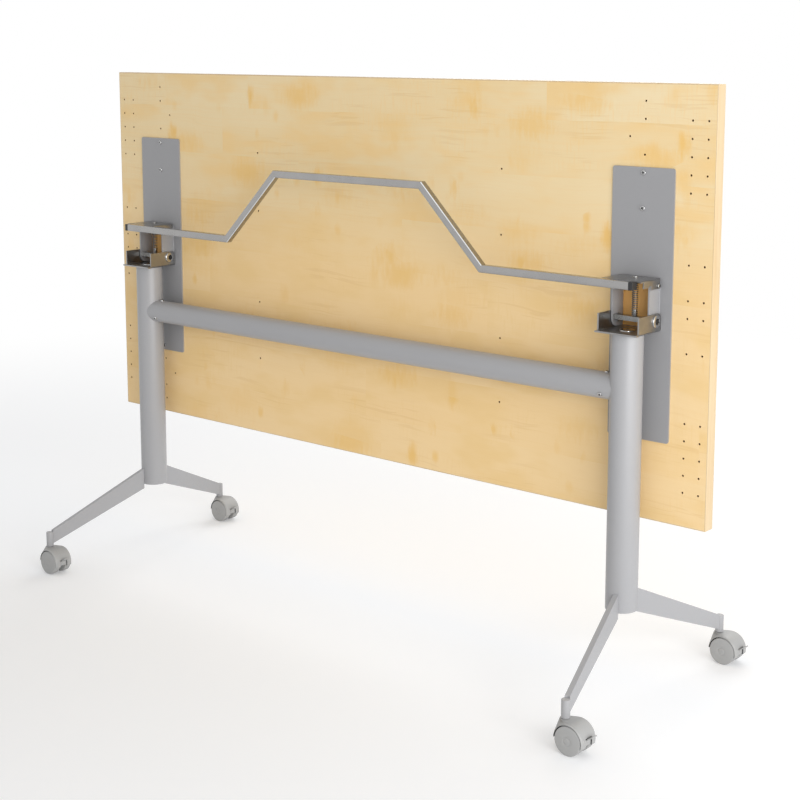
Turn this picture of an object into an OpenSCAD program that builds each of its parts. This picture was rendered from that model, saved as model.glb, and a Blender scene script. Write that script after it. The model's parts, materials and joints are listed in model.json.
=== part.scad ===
// Flip top training table, worktop tipped upright: two column legs, a crossbar, splayed feet on casters,
// and a sprung release bar that unlatches both hinges at once.
// Millimetres, +Z up, X along the worktop, Y across it.
// The origin is on the floor, midway between the columns.

/* [Worktop] */
// Length of the worktop, along X
top_length = 1600; // [1400:10:1800]
// Depth of the worktop, upright at rest
top_depth = 800; // [700:10:900]
// Thickness of the worktop
top_thick = 25; // [22:1:30]
// Thickness of the edge band round the board
band_thick = 2; // [1:0.5:3]

/* [Pilot holes] */
// Pitch of the grid of pilot holes
hole_pitch = 32; // [30:1:32]
// Distance from the board's ends to the first column of holes
hole_inset = 17; // [14:1:24]
// Diameter of a pilot hole
pilot_d = 4; // [3:0.5:5]
// Depth of a pilot hole
pilot_depth = 12; // [8:1:14]
// Height of the first row of holes for a cable tray, from the board's middle
tray_row = 102; // [90:1:110]

/* [Legs] */
// Distance from the middle of the table to each column
column_x = 655; // [600:5:660]
// Outside diameter of a column
column_d = 60; // [56:1:64]
// Wall of the column tube
column_wall = 2; // [1.5:0.5:3]
// Height of the column's lower end above the floor
column_foot = 164; // [150:1:180]
// Outside diameter of the crossbar
crossbar_d = 50; // [44:1:52]
// Wall of the crossbar tube
crossbar_wall = 2; // [1.5:0.5:3]
// Height of the crossbar's axis above the floor
crossbar_z = 580; // [500:5:620]
// Length of the spigot in each end of the crossbar
spigot_length = 60; // [40:5:90]
// Distance from the column's side to the radial screws
radial_screw_inset = 12; // [10:1:18]

/* [Feet] */
// Distance from the column to a caster stem, across the table
foot_reach = 264; // [240:2:300]
// Distance from the column to a caster stem, along the table
foot_splay = 60; // [40:2:80]
// Thickness of a foot arm
arm_thick = 10; // [8:1:12]
// Height of a foot arm at the column
arm_root_h = 49; // [40:1:56]
// Height of a foot arm at its caster
arm_tip_h = 29; // [24:1:32]
// Distance from the column's lower end up to the foot arm
arm_inset = 1; // [0.5:0.5:3]
// Outside diameter of a caster socket
socket_d = 16; // [15:0.5:20]
// Height of a caster socket
socket_h = 33; // [30:1:40]

/* [Casters] */
// Diameter of a caster wheel
wheel_d = 53; // [46:1:56]
// Width of a wheel, to the crown of its domed face
wheel_w = 16.5; // [15:0.5:18]
// Distance from the stem back to the axle
trail = 18.7; // [17:0.1:20]
// Diameter of the stem
stem_d = 10; // [8:0.5:11]
// Diameter of the axle
axle_d = 8; // [6:0.5:9]
// Gap between a wheel's tread and its hood
hood_gap = 1.5; // [1:0.25:2]
// Wall of the hood over the treads
hood_wall = 2.5; // [2:0.5:4]
// Width of the brake pedal's paddle
pedal_w = 14; // [12:0.5:14]

/* [Flip hinge] */
// Height of the flip pivot above the floor
pivot_z = 705; // [690:1:720]
// Distance from the column's axis back to the flip pivot
pivot_back = 24; // [23:0.5:26]
// Distance from the flip pivot to the worktop's underside
pivot_to_top = 21; // [20.5:0.5:24]
// Diameter of a flip pivot bolt
pivot_d = 10; // [8:1:11]
// Diameter of a flip pivot bolt's head
pivot_head_d = 20; // [18:1:22]
// Height of a flip pivot bolt's head
pivot_head_h = 5; // [4:0.5:6]
// Sheet thickness of the hinge bracket and of the mounting plate
plate_t = 3; // [2.5:0.5:3.5]
// Width across the inner ears
inner_w = 80; // [76:1:84]
// Radius of the inner ears round the flip pivot
inner_r = 17; // [16:0.5:18]
// Gap between an inner ear and the part outside it
ear_gap = 1; // [0.5:0.25:1.5]
// Distance from the flip pivot forward to the hinge bracket's front edge
bracket_front = 56; // [52:1:58]
// Height of the hinge bracket's ears above the flip pivot
bracket_rise = 13.5; // [12:0.5:14]
// Distance that the bracket's floor reaches in front of its ears as a latch lip
lip = 9; // [6:1:10]
// Width of a mounting plate
mount_w = 130; // [120:2:150]
// Length of a mounting plate
mount_l = 500; // [440:10:560]

/* [Release] */
// Side of the release bar's square tube
bar_side = 15; // [12:1:18]
// Wall of the release bar's tube
bar_wall = 1.5; // [1:0.5:2]
// Distance from the middle of the table to each end of the release bar
bar_half = 680; // [672:1:684]
// Distance from the middle to the lower bends of the release bar
bend_low_x = 350; // [330:5:400]
// Distance from the middle to the upper bends of the release bar
bend_high_x = 200; // [150:5:240]
// Rise of the release bar's middle run
bar_rise = 150; // [120:5:160]
// Height of the lever pivot above the flip pivot
lever_pivot_up = 64; // [63.5:0.5:66]
// Distance from the flip pivot back to the lever pivot
lever_pivot_back = 7; // [6:0.5:9]
// Sheet thickness of a release lever
lever_t = 2.5; // [2:0.5:3]
// Height of a release lever over its lower edge
lever_h = 18.5; // [18:0.5:20]
// Outside diameter of a return spring
spring_d = 11; // [9:0.5:11]
// Wire diameter of a return spring
spring_wire = 1.5; // [1:0.1:1.5]
// Curls of a return spring
spring_curls = 26; // [20:1:27]

/* [Hidden] */
$fn = 48;

// Clearances and the overrun that every cut shares
cut = 1;
fit_gap = 0.05;
seat_gap = 0.3;
latch_gap = 0.5;

// Colours
maple = [0.91, 0.80, 0.60];
maple_edge = [0.95, 0.87, 0.72];
paint = [0.64, 0.64, 0.66];
bright_steel = [0.62, 0.60, 0.57];
zinc = [0.75, 0.75, 0.74];
black_plastic = [0.08, 0.08, 0.09];
grey_plastic = [0.66, 0.66, 0.65];

// Places that follow from the driving sizes
top_y = pivot_back + pivot_to_top;
mid_z = pivot_z + pivot_back;
plate_y = top_y - plate_t;
floor_top = pivot_z - inner_r - seat_gap;
column_top = floor_top - plate_t;
bracket_w = inner_w + 2 * (ear_gap + plate_t);
bracket_back = pivot_to_top - plate_t - seat_gap;
lever_w = inner_w + 2 * (ear_gap + lever_t);
column_r = column_d / 2;
crossbar_r = crossbar_d / 2;
bend_r = 1;

// Screws of the mounting plates, down the middle of each plate
plate_screw_rows = [176, 240];
plate_screw_span_shares = [-1, 1];
plate_screw_d = 4.4;
plate_screw_head_d = 10;
plate_screw_head_h = 2.5;
plate_screw_length = 16;
plate_corner = 5;

// Levers: a tooth in front of a notch drops over the bracket's lip when the worktop lies flat
lever_screw_d = 5;
lever_screw_head_d = 9;
lever_screw_head_h = 2.8;
lever_pivot_wall = 2.5;
lever_edge_up = lever_pivot_up - lever_pivot_wall - lever_screw_d / 2;
lever_top_up = lever_edge_up + lever_h;
lip_reach = bracket_front + lip;
lip_radius = norm([lip_reach, inner_r + seat_gap + plate_t]);
notch_w = 8;
tooth_start = inner_r + notch_w;
tooth_up = sqrt(pow(lip_radius + latch_gap, 2) - pow(tooth_start, 2));
notch_up = lip_reach + 3 * latch_gap;
tooth_front = 42;
lever_tail = 13;
lever_tail_round = 4;
bar_back = -(lip_reach - bar_side);
ear_top_up = lever_top_up - lever_t - 3 * ear_gap;

// Springs stand on the seats, beside the middle of each hinge
spring_x = 5;
spring_ahead = 9;
seat_up = 7;
seat_lip_h = 9;
seat_lip_t = 2.5;
seat_back = 3.5;
seat_tab = 7;
anchor_d = spring_d - 2 * spring_wire - 2 * seat_gap;
anchor_h = 12;
anchor_screw_d = 4;
anchor_head_d = 9;
anchor_nut_d = 8;
anchor_head_h = 2.4;
anchor_tail = 5;

// Fixings of the frame
bracket_bolt_d = 10;
bracket_bolt_head_d = 31;
bracket_bolt_head_h = 2.5;
bracket_bolt_key = 8;
insert_h = 20;
cap_h = 8;
radial_screw_d = 5;
radial_screw_head_d = 9;
radial_screw_head_h = 2.2;
radial_screw_turns = [90, -30, 210];
spigot_wall = 4;
pivot_key_d = 12.5;
pivot_key_depth = 3;
nut_d = 16;
nut_h = 5;

// Release bar ends
plug_cap = 9;
plug_spigot = 12;

// Casters
axle_z = wheel_d / 2;
hood_r = wheel_d / 2 + hood_gap + hood_wall;
web_wall = 2;
web_half = stem_d / 2 + web_wall;
wheel_gap = 0.5;
wheel_in = web_half + wheel_gap;
wheel_crown = wheel_in + wheel_w;
dome = 2.5;
tread_round = 4;
face_proud = 1;
hood_half = wheel_crown - face_proud;
hood_round = 5;
hood_facets = 32;
swivel_gap = 0.5;
socket_low = axle_z + hood_r + swivel_gap;
stem_in_socket = 28;
stem_in_hood = 26;
stem_boss_d = 20;
hood_front_low = 1.5;
hood_rear_low = -8;
axle_boss_d = 18;

// Brake pedal, from the axle: a blade that rises out of a window in the hood, with a skirt under its root
pedal_pivot_x = 21.5;
pedal_pivot_up = 1.5;
pedal_pin_d = 3;
pedal_arm_w = 9;
pedal_arm_r = 3.5;
pedal_root_x = 26;
pedal_root_up = 5.3;
pedal_tip_x = 40.5;
pedal_tip_up = 14.5;
pedal_t = 2.2;
pedal_skirt_t = 2.5;
pedal_skirt_low = -4.5;
slot_low = 7;
slot_high = 7;
slot_front = 6;
pin_wall = 1.2;
window_gap = 2;

// Signs of the two sides
LEFT = -1;
RIGHT = 1;
FRONT = -1;
REAR = 1;

// Pilot hole columns as pitches in from the first column, and rows as pitches from the middle
side_column_shares = [0, 1];
side_row_shares = [0.5, 2.5, 6.5, 7.5, 8.5, 9.5, 10.5];
hinge_column_share = 4;
hinge_row_shares = [8.5, 10.5, 11.5];
guide_column_share = 5;
guide_row_share = 9.5;
tray_column_share = 14;
tray_span_share = 4;

// Extrudes an outline drawn in Y and Z along +X, from x0
module along_x(x0, length) {
    translate([x0, 0, 0]) rotate([90, 0, 90]) linear_extrude(length) children();
}

// Extrudes an outline drawn in X and Z along +Y, from y0
module along_y(y0, length) {
    translate([0, y0 + length, 0]) rotate([90, 0, 0]) linear_extrude(length) children();
}

// A cylinder along X, centred on x
module rod_x(x, y, z, length, r) {
    translate([x, y, z]) rotate([0, 90, 0]) cylinder(h = length, r = r, center = true);
}

// A cylinder from y0 towards +Y
module rod_y(x, y0, z, length, r) {
    translate([x, y0, z]) rotate([-90, 0, 0]) cylinder(h = length, r = r);
}

module rounded_square(size, r) {
    difference() {
        square(size, center = true);
        for (sx = [LEFT, RIGHT]) for (sy = [LEFT, RIGHT])
            translate([sx * (size[0] / 2 - r), sy * (size[1] / 2 - r)]) difference() {
                translate([sx > 0 ? 0 : -r - cut, sy > 0 ? 0 : -r - cut]) square(r + cut);
                circle(r = r);
            }
    }
}

// Worktop

function first_column() = top_length / 2 - hole_inset;

module pilot_hole(x, up) {
    rod_y(x, top_y - cut, mid_z + up, pilot_depth + cut, pilot_d / 2);
}

module pilot_holes() {
    hinge_column = first_column() - hinge_column_share * hole_pitch;
    guide_column = first_column() - guide_column_share * hole_pitch;
    tray_column = first_column() - tray_column_share * hole_pitch;
    for (sx = [LEFT, RIGHT]) for (sz = [LEFT, RIGHT]) {
        for (c = side_column_shares) for (r = side_row_shares)
            pilot_hole(sx * (first_column() - c * hole_pitch), sz * r * hole_pitch);
        for (r = hinge_row_shares) pilot_hole(sx * hinge_column, sz * r * hole_pitch);
        pilot_hole(sx * guide_column, sz * guide_row_share * hole_pitch);
        for (r = [0, tray_span_share]) pilot_hole(sx * tray_column, sz * (tray_row + r * hole_pitch));
    }
}

module at_plate_screws() {
    for (side = [LEFT, RIGHT]) for (end = plate_screw_span_shares) for (row = plate_screw_rows)
        translate([side * column_x, 0, mid_z + end * row]) children();
}

module worktop() {
    color(maple) difference() {
        translate([-top_length / 2 + band_thick, top_y, mid_z - top_depth / 2 + band_thick])
            cube([top_length - 2 * band_thick, top_thick, top_depth - 2 * band_thick]);
        pilot_holes();
        at_plate_screws()
            rod_y(0, top_y - cut, 0, plate_screw_length + 2 * cut, plate_screw_d / 2 + fit_gap);
    }
}

module edge_band() {
    color(maple_edge) along_y(top_y, top_thick) translate([0, mid_z]) difference() {
        square([top_length, top_depth], center = true);
        square([top_length - 2 * band_thick, top_depth - 2 * band_thick], center = true);
    }
}

// Flip hinge, in coordinates of the flip pivot

module at_hinge(side) {
    translate([side * column_x, pivot_back, pivot_z]) children();
}

module inner_ear_outline() {
    circle(r = inner_r);
    translate([-inner_r, 0]) square([inner_r + pivot_to_top, ear_top_up]);
    translate([0, -inner_r]) square([pivot_to_top, inner_r + cut]);
}

// Half of the folded section, on the +X side: ear, bend and a strip of the plate
module inner_ear_section() {
    root = plate_t + bend_r;
    difference() {
        union() {
            translate([inner_w / 2 - plate_t, -inner_r - cut])
                square([plate_t, inner_r + cut + pivot_to_top]);
            translate([inner_w / 2 - plate_t, pivot_to_top - root]) square([root + cut, root]);
        }
        translate([inner_w / 2 - plate_t + root, pivot_to_top - root]) circle(r = bend_r);
        translate([inner_w / 2 + bend_r, pivot_to_top - root - cut])
            square([2 * cut, root + cut - plate_t]);
        translate([inner_w / 2, pivot_to_top - root - cut]) square([bend_r + cut, cut]);
        translate([inner_w / 2 - plate_t, pivot_to_top - root]) difference() {
            translate([-cut, 0]) square([root + cut, root + cut]);
            translate([root, 0]) circle(r = root);
            translate([root, 0]) square([root + cut, root + 2 * cut]);
        }
    }
}

module mounting_plate(side) {
    color(paint) at_hinge(side) difference() {
        union() {
            difference() {
                along_y(pivot_to_top - plate_t, plate_t) translate([0, mid_z - pivot_z])
                    rounded_square([mount_w, mount_l], plate_corner);
                translate([-inner_w / 2 - bend_r, pivot_to_top - plate_t - cut, -inner_r])
                    cube([inner_w + 2 * bend_r, plate_t + 2 * cut, inner_r + ear_top_up]);
            }
            for (m = [0, 1]) mirror([m, 0, 0]) intersection() {
                translate([0, 0, -inner_r - cut]) linear_extrude(inner_r + ear_top_up + 2 * cut)
                    inner_ear_section();
                along_x(0, mount_w / 2) inner_ear_outline();
            }
        }
        rod_x(0, 0, 0, inner_w + 2 * cut, pivot_d / 2 + fit_gap);
        rod_x(0, lever_pivot_back, lever_pivot_up, inner_w + 2 * cut, lever_screw_d / 2 + fit_gap);
        for (end = plate_screw_span_shares) for (row = plate_screw_rows)
            rod_y(0, pivot_to_top - plate_t - cut, mid_z - pivot_z + end * row, plate_t + 2 * cut,
                plate_screw_d / 2 + seat_gap);
    }
}

module plate_screws() {
    color(zinc) at_plate_screws() {
        rod_y(0, plate_y - plate_screw_head_h, 0, plate_screw_head_h, plate_screw_head_d / 2);
        rod_y(0, plate_y - cut / 2, 0, plate_t + plate_screw_length + cut / 2, plate_screw_d / 2);
    }
}

// Seat across the inner ears: a strip with a front lip, narrowed behind its ends to clear the pivot nuts
module spring_seat(side) {
    inside = inner_w / 2 - plate_t;
    front = -inner_r + latch_gap;
    clear = inside - nut_h - seat_gap - latch_gap;
    color(paint) at_hinge(side) difference() {
        union() {
            translate([-inside, front, seat_up - plate_t]) cube([2 * inside, seat_tab, plate_t]);
            translate([-clear, front, seat_up - plate_t])
                cube([2 * clear, inner_r - latch_gap - seat_back, plate_t]);
            translate([-inside, front, seat_up - seat_lip_h]) cube([2 * inside, seat_lip_t, seat_lip_h]);
        }
        translate([spring_x, -spring_ahead, seat_up - plate_t - cut])
            cylinder(h = plate_t + 2 * cut, d = anchor_screw_d + 2 * fit_gap);
    }
}

module bracket_ear_outline() {
    r = bracket_back;
    low = inner_r + seat_gap + plate_t;
    difference() {
        translate([-bracket_front, -low]) square([bracket_front + r, low + bracket_rise]);
        difference() {
            square(r + bracket_rise);
            circle(r = r);
        }
    }
}

// Cross-section of the U bracket: floor, rounded bends and two ears
module bracket_section() {
    low = inner_r + seat_gap + plate_t;
    outer = plate_t + bend_r;
    difference() {
        translate([-bracket_w / 2, -low]) square([bracket_w, low + bracket_rise]);
        difference() {
            translate([-bracket_w / 2 + plate_t, -low + plate_t])
                square([bracket_w - 2 * plate_t, low + bracket_rise]);
            for (s = [LEFT, RIGHT]) translate([s * (bracket_w / 2 - outer), -low + outer]) difference() {
                translate([s > 0 ? 0 : -bend_r - cut, -bend_r - cut]) square(bend_r + cut);
                circle(r = bend_r);
            }
        }
        for (s = [LEFT, RIGHT]) translate([s * (bracket_w / 2 - outer), -low + outer]) difference() {
            translate([s > 0 ? 0 : -outer - cut, -outer - cut]) square(outer + cut);
            circle(r = outer);
        }
    }
}

module hinge_bracket(side) {
    low = inner_r + seat_gap + plate_t;
    color(bright_steel) at_hinge(side) difference() {
        union() {
            intersection() {
                along_y(-bracket_front, bracket_front + bracket_back) bracket_section();
                along_x(-bracket_w, 2 * bracket_w) bracket_ear_outline();
            }
            translate([-bracket_w / 2, -lip_reach, -low]) cube([bracket_w, lip, plate_t]);
        }
        rod_x(0, 0, 0, bracket_w + 2 * cut, pivot_d / 2 + fit_gap);
        translate([0, -pivot_back, -low - cut])
            cylinder(h = plate_t + 2 * cut, d = bracket_bolt_d + 2 * seat_gap);
    }
}

module bracket_bolts() {
    color(zinc) for (side = [LEFT, RIGHT]) translate([side * column_x, 0, floor_top]) difference() {
        union() {
            cylinder(h = bracket_bolt_head_h / 2, d = bracket_bolt_head_d);
            translate([0, 0, bracket_bolt_head_h / 2]) cylinder(h = bracket_bolt_head_h / 2,
                d1 = bracket_bolt_head_d, d2 = bracket_bolt_head_d / 2);
            translate([0, 0, -plate_t - insert_h + cut])
                cylinder(h = plate_t + insert_h, d = bracket_bolt_d);
        }
        translate([0, 0, -bracket_bolt_head_h])
            cylinder(h = 3 * bracket_bolt_head_h, d = bracket_bolt_key, $fn = 6);
    }
}

module at_pivot_ends() {
    for (side = [LEFT, RIGHT]) at_hinge(side) for (m = [0, 1]) mirror([m, 0, 0]) children();
}

module flip_pivot_bolts() {
    inside = inner_w / 2 - plate_t - seat_gap - nut_h;
    color(zinc) at_pivot_ends() difference() {
        union() {
            rod_x((inside + bracket_w / 2) / 2, 0, 0, bracket_w / 2 - inside, pivot_d / 2);
            rod_x((bracket_w + pivot_head_h) / 2, 0, 0, pivot_head_h, pivot_head_d / 2);
        }
        translate([bracket_w / 2 + pivot_head_h - pivot_key_depth, 0, 0]) rotate([0, 90, 0])
            cylinder(h = pivot_key_depth + cut, d = pivot_key_d, $fn = 6);
    }
}

module flip_pivot_nuts() {
    color(zinc) at_pivot_ends() difference() {
        translate([inner_w / 2 - plate_t - seat_gap - nut_h, 0, 0]) rotate([0, 90, 0])
            cylinder(h = nut_h, d = nut_d, $fn = 6);
        rod_x(inner_w / 2 - plate_t, 0, 0, 3 * nut_h, pivot_d / 2 + fit_gap);
    }
}

// Release levers, bar and springs

module lever_outline() {
    difference() {
        translate([-lip_reach + bar_side, lever_edge_up])
            square([lip_reach - bar_side + lever_tail, lever_top_up - lever_edge_up]);
        translate([lever_tail - lever_tail_round, lever_edge_up + lever_tail_round]) difference() {
            translate([0, -lever_tail_round - cut]) square(lever_tail_round + cut);
            circle(r = lever_tail_round);
        }
        translate([-lip_reach, lever_edge_up - cut])
            square([lip_reach - tooth_start, tooth_up - lever_edge_up + cut]);
        translate([-tooth_start, lever_edge_up - cut]) square([notch_w, notch_up - lever_edge_up + cut]);
        translate([-lip_reach, lever_edge_up - cut])
            square([lip_reach - tooth_front, lever_top_up - lever_t - lever_edge_up + cut]);
    }
}

module lever_section() {
    outer = lever_t + bend_r;
    difference() {
        translate([-lever_w / 2, lever_edge_up]) square([lever_w, lever_top_up - lever_edge_up]);
        translate([-lever_w / 2 + lever_t, lever_edge_up - cut])
            square([lever_w - 2 * lever_t, lever_top_up - lever_t - lever_edge_up + cut]);
        for (s = [LEFT, RIGHT]) translate([s * (lever_w / 2 - outer), lever_top_up - outer]) difference() {
            translate([s > 0 ? 0 : -outer - cut, 0]) square(outer + cut);
            circle(r = outer);
        }
    }
}

module release_lever(side) {
    color(bright_steel) at_hinge(side) difference() {
        intersection() {
            along_y(bar_back, lever_tail - bar_back) lever_section();
            along_x(-lever_w, 2 * lever_w) lever_outline();
        }
        rod_x(0, lever_pivot_back, lever_pivot_up, lever_w + 2 * cut, lever_screw_d / 2 + fit_gap);
        translate([spring_x, -spring_ahead, lever_top_up - lever_t - cut])
            cylinder(h = lever_t + 2 * cut, d = anchor_screw_d + 2 * fit_gap);
    }
}

module lever_pivot_screws() {
    outside = lever_w / 2 + seat_gap;
    inside = inner_w / 2 - plate_t;
    color(zinc) at_pivot_ends() translate([0, lever_pivot_back, lever_pivot_up]) {
        rod_x((outside + inside) / 2, 0, 0, outside - inside + cut, lever_screw_d / 2);
        rod_x(outside + lever_screw_head_h / 2, 0, 0, lever_screw_head_h, lever_screw_head_d / 2);
        rod_x(inside - lever_screw_head_h / 2, 0, 0, lever_screw_head_h, lever_screw_head_d / 2);
    }
}

// Half-height h of the square tube follows the mitred centre line
function bar_points(h) =
    let (slope = atan2(bar_rise, bend_low_x - bend_high_x), m = h * tan(slope / 2))
    concat(
        [[-bar_half, h], [-bend_low_x - m, h], [-bend_high_x - m, bar_rise + h]],
        [[bend_high_x + m, bar_rise + h], [bend_low_x + m, h], [bar_half, h]],
        [[bar_half, -h], [bend_low_x - m, -h], [bend_high_x - m, bar_rise - h]],
        [[-bend_high_x + m, bar_rise - h], [-bend_low_x + m, -h], [-bar_half, -h]]);

module at_bar() {
    translate([0, pivot_back - lip_reach, pivot_z + lever_top_up - bar_side / 2]) children();
}

module release_bar() {
    color(paint) at_bar() difference() {
        along_y(0, bar_side) polygon(bar_points(bar_side / 2));
        along_y(bar_wall, bar_side - 2 * bar_wall) polygon(bar_points(bar_side / 2 - bar_wall));
        for (side = [LEFT, RIGHT]) translate([side * bar_half, bar_side / 2, 0])
            cube([2 * cut, bar_side - 2 * bar_wall, bar_side - 2 * bar_wall], center = true);
    }
}

module bar_end_plugs() {
    inner = bar_side - 2 * bar_wall - 2 * fit_gap;
    color(black_plastic) at_bar() for (m = [0, 1]) mirror([m, 0, 0])
        translate([bar_half, bar_side / 2, 0]) {
            translate([0, -bar_side / 2, -bar_side / 2]) cube([plug_cap, bar_side, bar_side]);
            translate([-plug_spigot, -inner / 2, -inner / 2]) cube([plug_spigot + cut, inner, inner]);
        }
}

module at_springs() {
    for (side = [LEFT, RIGHT]) at_hinge(side) translate([spring_x, -spring_ahead, 0]) children();
}

module spring_anchors_lower() {
    color(zinc) at_springs() translate([0, 0, seat_up]) {
        cylinder(h = anchor_h, d = anchor_d);
        translate([0, 0, -plate_t - anchor_head_h - anchor_tail])
            cylinder(h = plate_t + anchor_head_h + anchor_tail + cut, d = anchor_screw_d);
        translate([0, 0, -plate_t - anchor_head_h]) cylinder(h = anchor_head_h, d = anchor_nut_d);
    }
}

module spring_anchors_upper() {
    under = lever_top_up - lever_t;
    color(zinc) at_springs() {
        translate([0, 0, under - anchor_h]) cylinder(h = anchor_h, d = anchor_d);
        translate([0, 0, under - cut]) cylinder(h = lever_t + 2 * cut, d = anchor_screw_d);
        translate([0, 0, lever_top_up]) cylinder(h = anchor_head_h, d = anchor_head_d);
    }
}

// The spring's centre line runs round a circle: s is the way along the circle, z the height.
// Each end runs straight for one wire diameter and turns into the coil on a short bend.
spring_r = (spring_d - spring_wire) / 2;
spring_rise = lever_top_up - lever_t - seat_up - seat_gap;
spring_bend = 1.2;
spring_lead = spring_wire;
spring_pitch = (spring_rise - 2 * (spring_lead + spring_bend)) / spring_curls;
rings_per_curl = 8;
tube_sides = 6;
bend_turns = [30, 60];
coil_steps = spring_curls * rings_per_curl;
curl_length = 2 * PI * spring_r;
coil_up = spring_lead + spring_bend;

function spring_start() = [for (a = bend_turns)
    [spring_bend * (1 - cos(a)), spring_lead + spring_bend * sin(a)]];
function spring_coil() = [for (i = [0:coil_steps]) let (curls = i / rings_per_curl)
    [spring_bend + curls * curl_length, coil_up + curls * spring_pitch]];
spring_s_end = 2 * spring_bend + spring_curls * curl_length;
function mirrored(p) = [spring_s_end - p[0], spring_rise - p[1]];
function spring_flat() = let (start = concat([[0, 0], [0, spring_lead]], spring_start()))
    concat(start, spring_coil(), [for (i = [len(start) - 1:-1:0]) mirrored(start[i])]);
function spring_path() = [for (p = spring_flat()) let (a = p[0] / spring_r * 180 / PI)
    [spring_r * cos(a), spring_r * sin(a), p[1]]];
function unit(v) = v / norm(v);
function tube_ring(p, t, n) = let (b = cross(t, n)) [for (k = [0:tube_sides - 1])
    let (a = 360 * k / tube_sides) p + spring_wire / 2 * (cos(a) * n + sin(a) * b)];
function spring_rings(path) = let (last = len(path) - 1) [for (i = [0:last])
    let (n = unit([path[i][0], path[i][1], 0]),
         raw = i <= 1 || i >= last - 1 ? [0, 0, 1] : path[i + 1] - path[i - 1],
         t = unit(raw - (raw * n) * n))
    each tube_ring(path[i], t, n)];
function tube_faces(count) = concat(
    [[for (k = [0:tube_sides - 1]) k]],
    [for (i = [0:count - 2]) for (k = [0:tube_sides - 1]) let (a = i * tube_sides + k,
        b = i * tube_sides + (k + 1) % tube_sides) each [[a, a + tube_sides, b + tube_sides],
        [a, b + tube_sides, b]]],
    [[for (k = [tube_sides - 1:-1:0]) (count - 1) * tube_sides + k]]);
function spring_least_gap(path) = min([for (i = [0:len(path) - 1 - rings_per_curl])
    for (j = [i + rings_per_curl / 2:min(len(path) - 1, i + rings_per_curl + 2)])
    norm(path[j] - path[i])]) - spring_wire;

module return_spring(side) {
    path = spring_path();
    echo(least_gap_of_the_spring_to_itself = spring_least_gap(path));
    color(zinc) at_hinge(side) translate([spring_x, -spring_ahead, seat_up])
        polyhedron(points = spring_rings(path), faces = tube_faces(len(path)), convexity = 10);
}

// Columns and crossbar

module column(side) {
    color(paint) translate([side * column_x, 0, 0]) difference() {
        translate([0, 0, column_foot]) cylinder(h = column_top - column_foot, r = column_r);
        translate([0, 0, column_foot - cut])
            cylinder(h = column_top - column_foot + 2 * cut, r = column_r - column_wall);
    }
}

module column_inserts() {
    color(zinc) for (side = [LEFT, RIGHT]) translate([side * column_x, 0, column_top - insert_h])
        difference() {
            cylinder(h = insert_h, r = column_r - column_wall - fit_gap);
            translate([0, 0, -cut]) cylinder(h = insert_h + 2 * cut, d = bracket_bolt_d + 2 * fit_gap);
        }
}

module column_caps() {
    color(black_plastic) for (side = [LEFT, RIGHT]) translate([side * column_x, 0, column_foot])
        cylinder(h = cap_h, r = column_r - column_wall - fit_gap);
}

// Cuts the ends of a horizontal tube to the round of the columns
module coped() {
    difference() {
        children();
        for (side = [LEFT, RIGHT]) translate([side * column_x, 0, column_foot])
            cylinder(h = column_top - column_foot, r = column_r + fit_gap);
    }
}

module at_radial_screws() {
    for (side = [LEFT, RIGHT]) for (turn = radial_screw_turns)
        translate([side * (column_x - column_r - radial_screw_inset), 0, crossbar_z])
            rotate([turn - 90, 0, 0]) children();
}

module radial_screw_holes(r) {
    at_radial_screws() cylinder(h = crossbar_r + cut, r = r);
}

module crossbar() {
    color(paint) difference() {
        coped() rod_x(0, 0, crossbar_z, 2 * column_x, crossbar_r);
        rod_x(0, 0, crossbar_z, 2 * column_x + 2 * cut, crossbar_r - crossbar_wall);
        radial_screw_holes(radial_screw_d / 2 + fit_gap);
    }
}

module crossbar_spigots() {
    r = crossbar_r - crossbar_wall - fit_gap;
    end = column_x - column_r - spigot_length;
    color(zinc) difference() {
        coped() rod_x(0, 0, crossbar_z, 2 * column_x, r);
        rod_x(0, 0, crossbar_z, 2 * end, r + cut);
        rod_x(0, 0, crossbar_z, 2 * column_x + 2 * cut, r - spigot_wall);
        radial_screw_holes(radial_screw_d / 2 + fit_gap);
    }
}

module crossbar_screws() {
    tip = crossbar_r - crossbar_wall - spigot_wall;
    color(zinc) at_radial_screws() {
        translate([0, 0, tip]) cylinder(h = crossbar_r - tip + cut, d = radial_screw_d);
        translate([0, 0, crossbar_r + fit_gap])
            cylinder(h = radial_screw_head_h, d = radial_screw_head_d);
    }
}

// Feet

foot_length = norm([foot_splay, foot_reach]);
foot_turn = atan2(foot_reach, foot_splay);

module at_stem(sx, sy) {
    translate([sx * (column_x + foot_splay), sy * foot_reach, 0]) children();
}

// The arm lies in a vertical plane from the column's axis to the stem, and is cut to the round of both
module foot_arm(sx, sy) {
    root_low = column_foot + arm_inset;
    tip_high = socket_low + socket_h;
    tip_low = tip_high - arm_tip_h;
    color(paint) difference() {
        translate([sx * column_x, 0, 0]) rotate([0, 0, sx > 0 ? sy * foot_turn : 180 - sy * foot_turn])
            along_y(-arm_thick / 2, arm_thick) polygon([[0, root_low], [foot_length, tip_low],
                [foot_length, tip_high], [0, root_low + arm_root_h]]);
        translate([sx * column_x, 0, 0]) cylinder(h = column_top, r = column_r + fit_gap);
        at_stem(sx, sy) cylinder(h = column_foot, d = socket_d + 2 * fit_gap);
    }
}

module caster_socket(sx, sy) {
    color(paint) at_stem(sx, sy) translate([0, 0, socket_low]) difference() {
        cylinder(h = socket_h, d = socket_d);
        translate([0, 0, -cut]) cylinder(h = stem_in_socket + cut, d = stem_d + 2 * fit_gap);
    }
}

// Casters: the stem stays in its socket and the housing swivels on it, trailing towards +X

module caster_stem(sx, sy) {
    top = socket_low + stem_in_socket - fit_gap;
    low = socket_low - swivel_gap - stem_in_hood + seat_gap;
    color(zinc) at_stem(sx, sy) translate([0, 0, low]) cylinder(h = top - low, d = stem_d);
}

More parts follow.
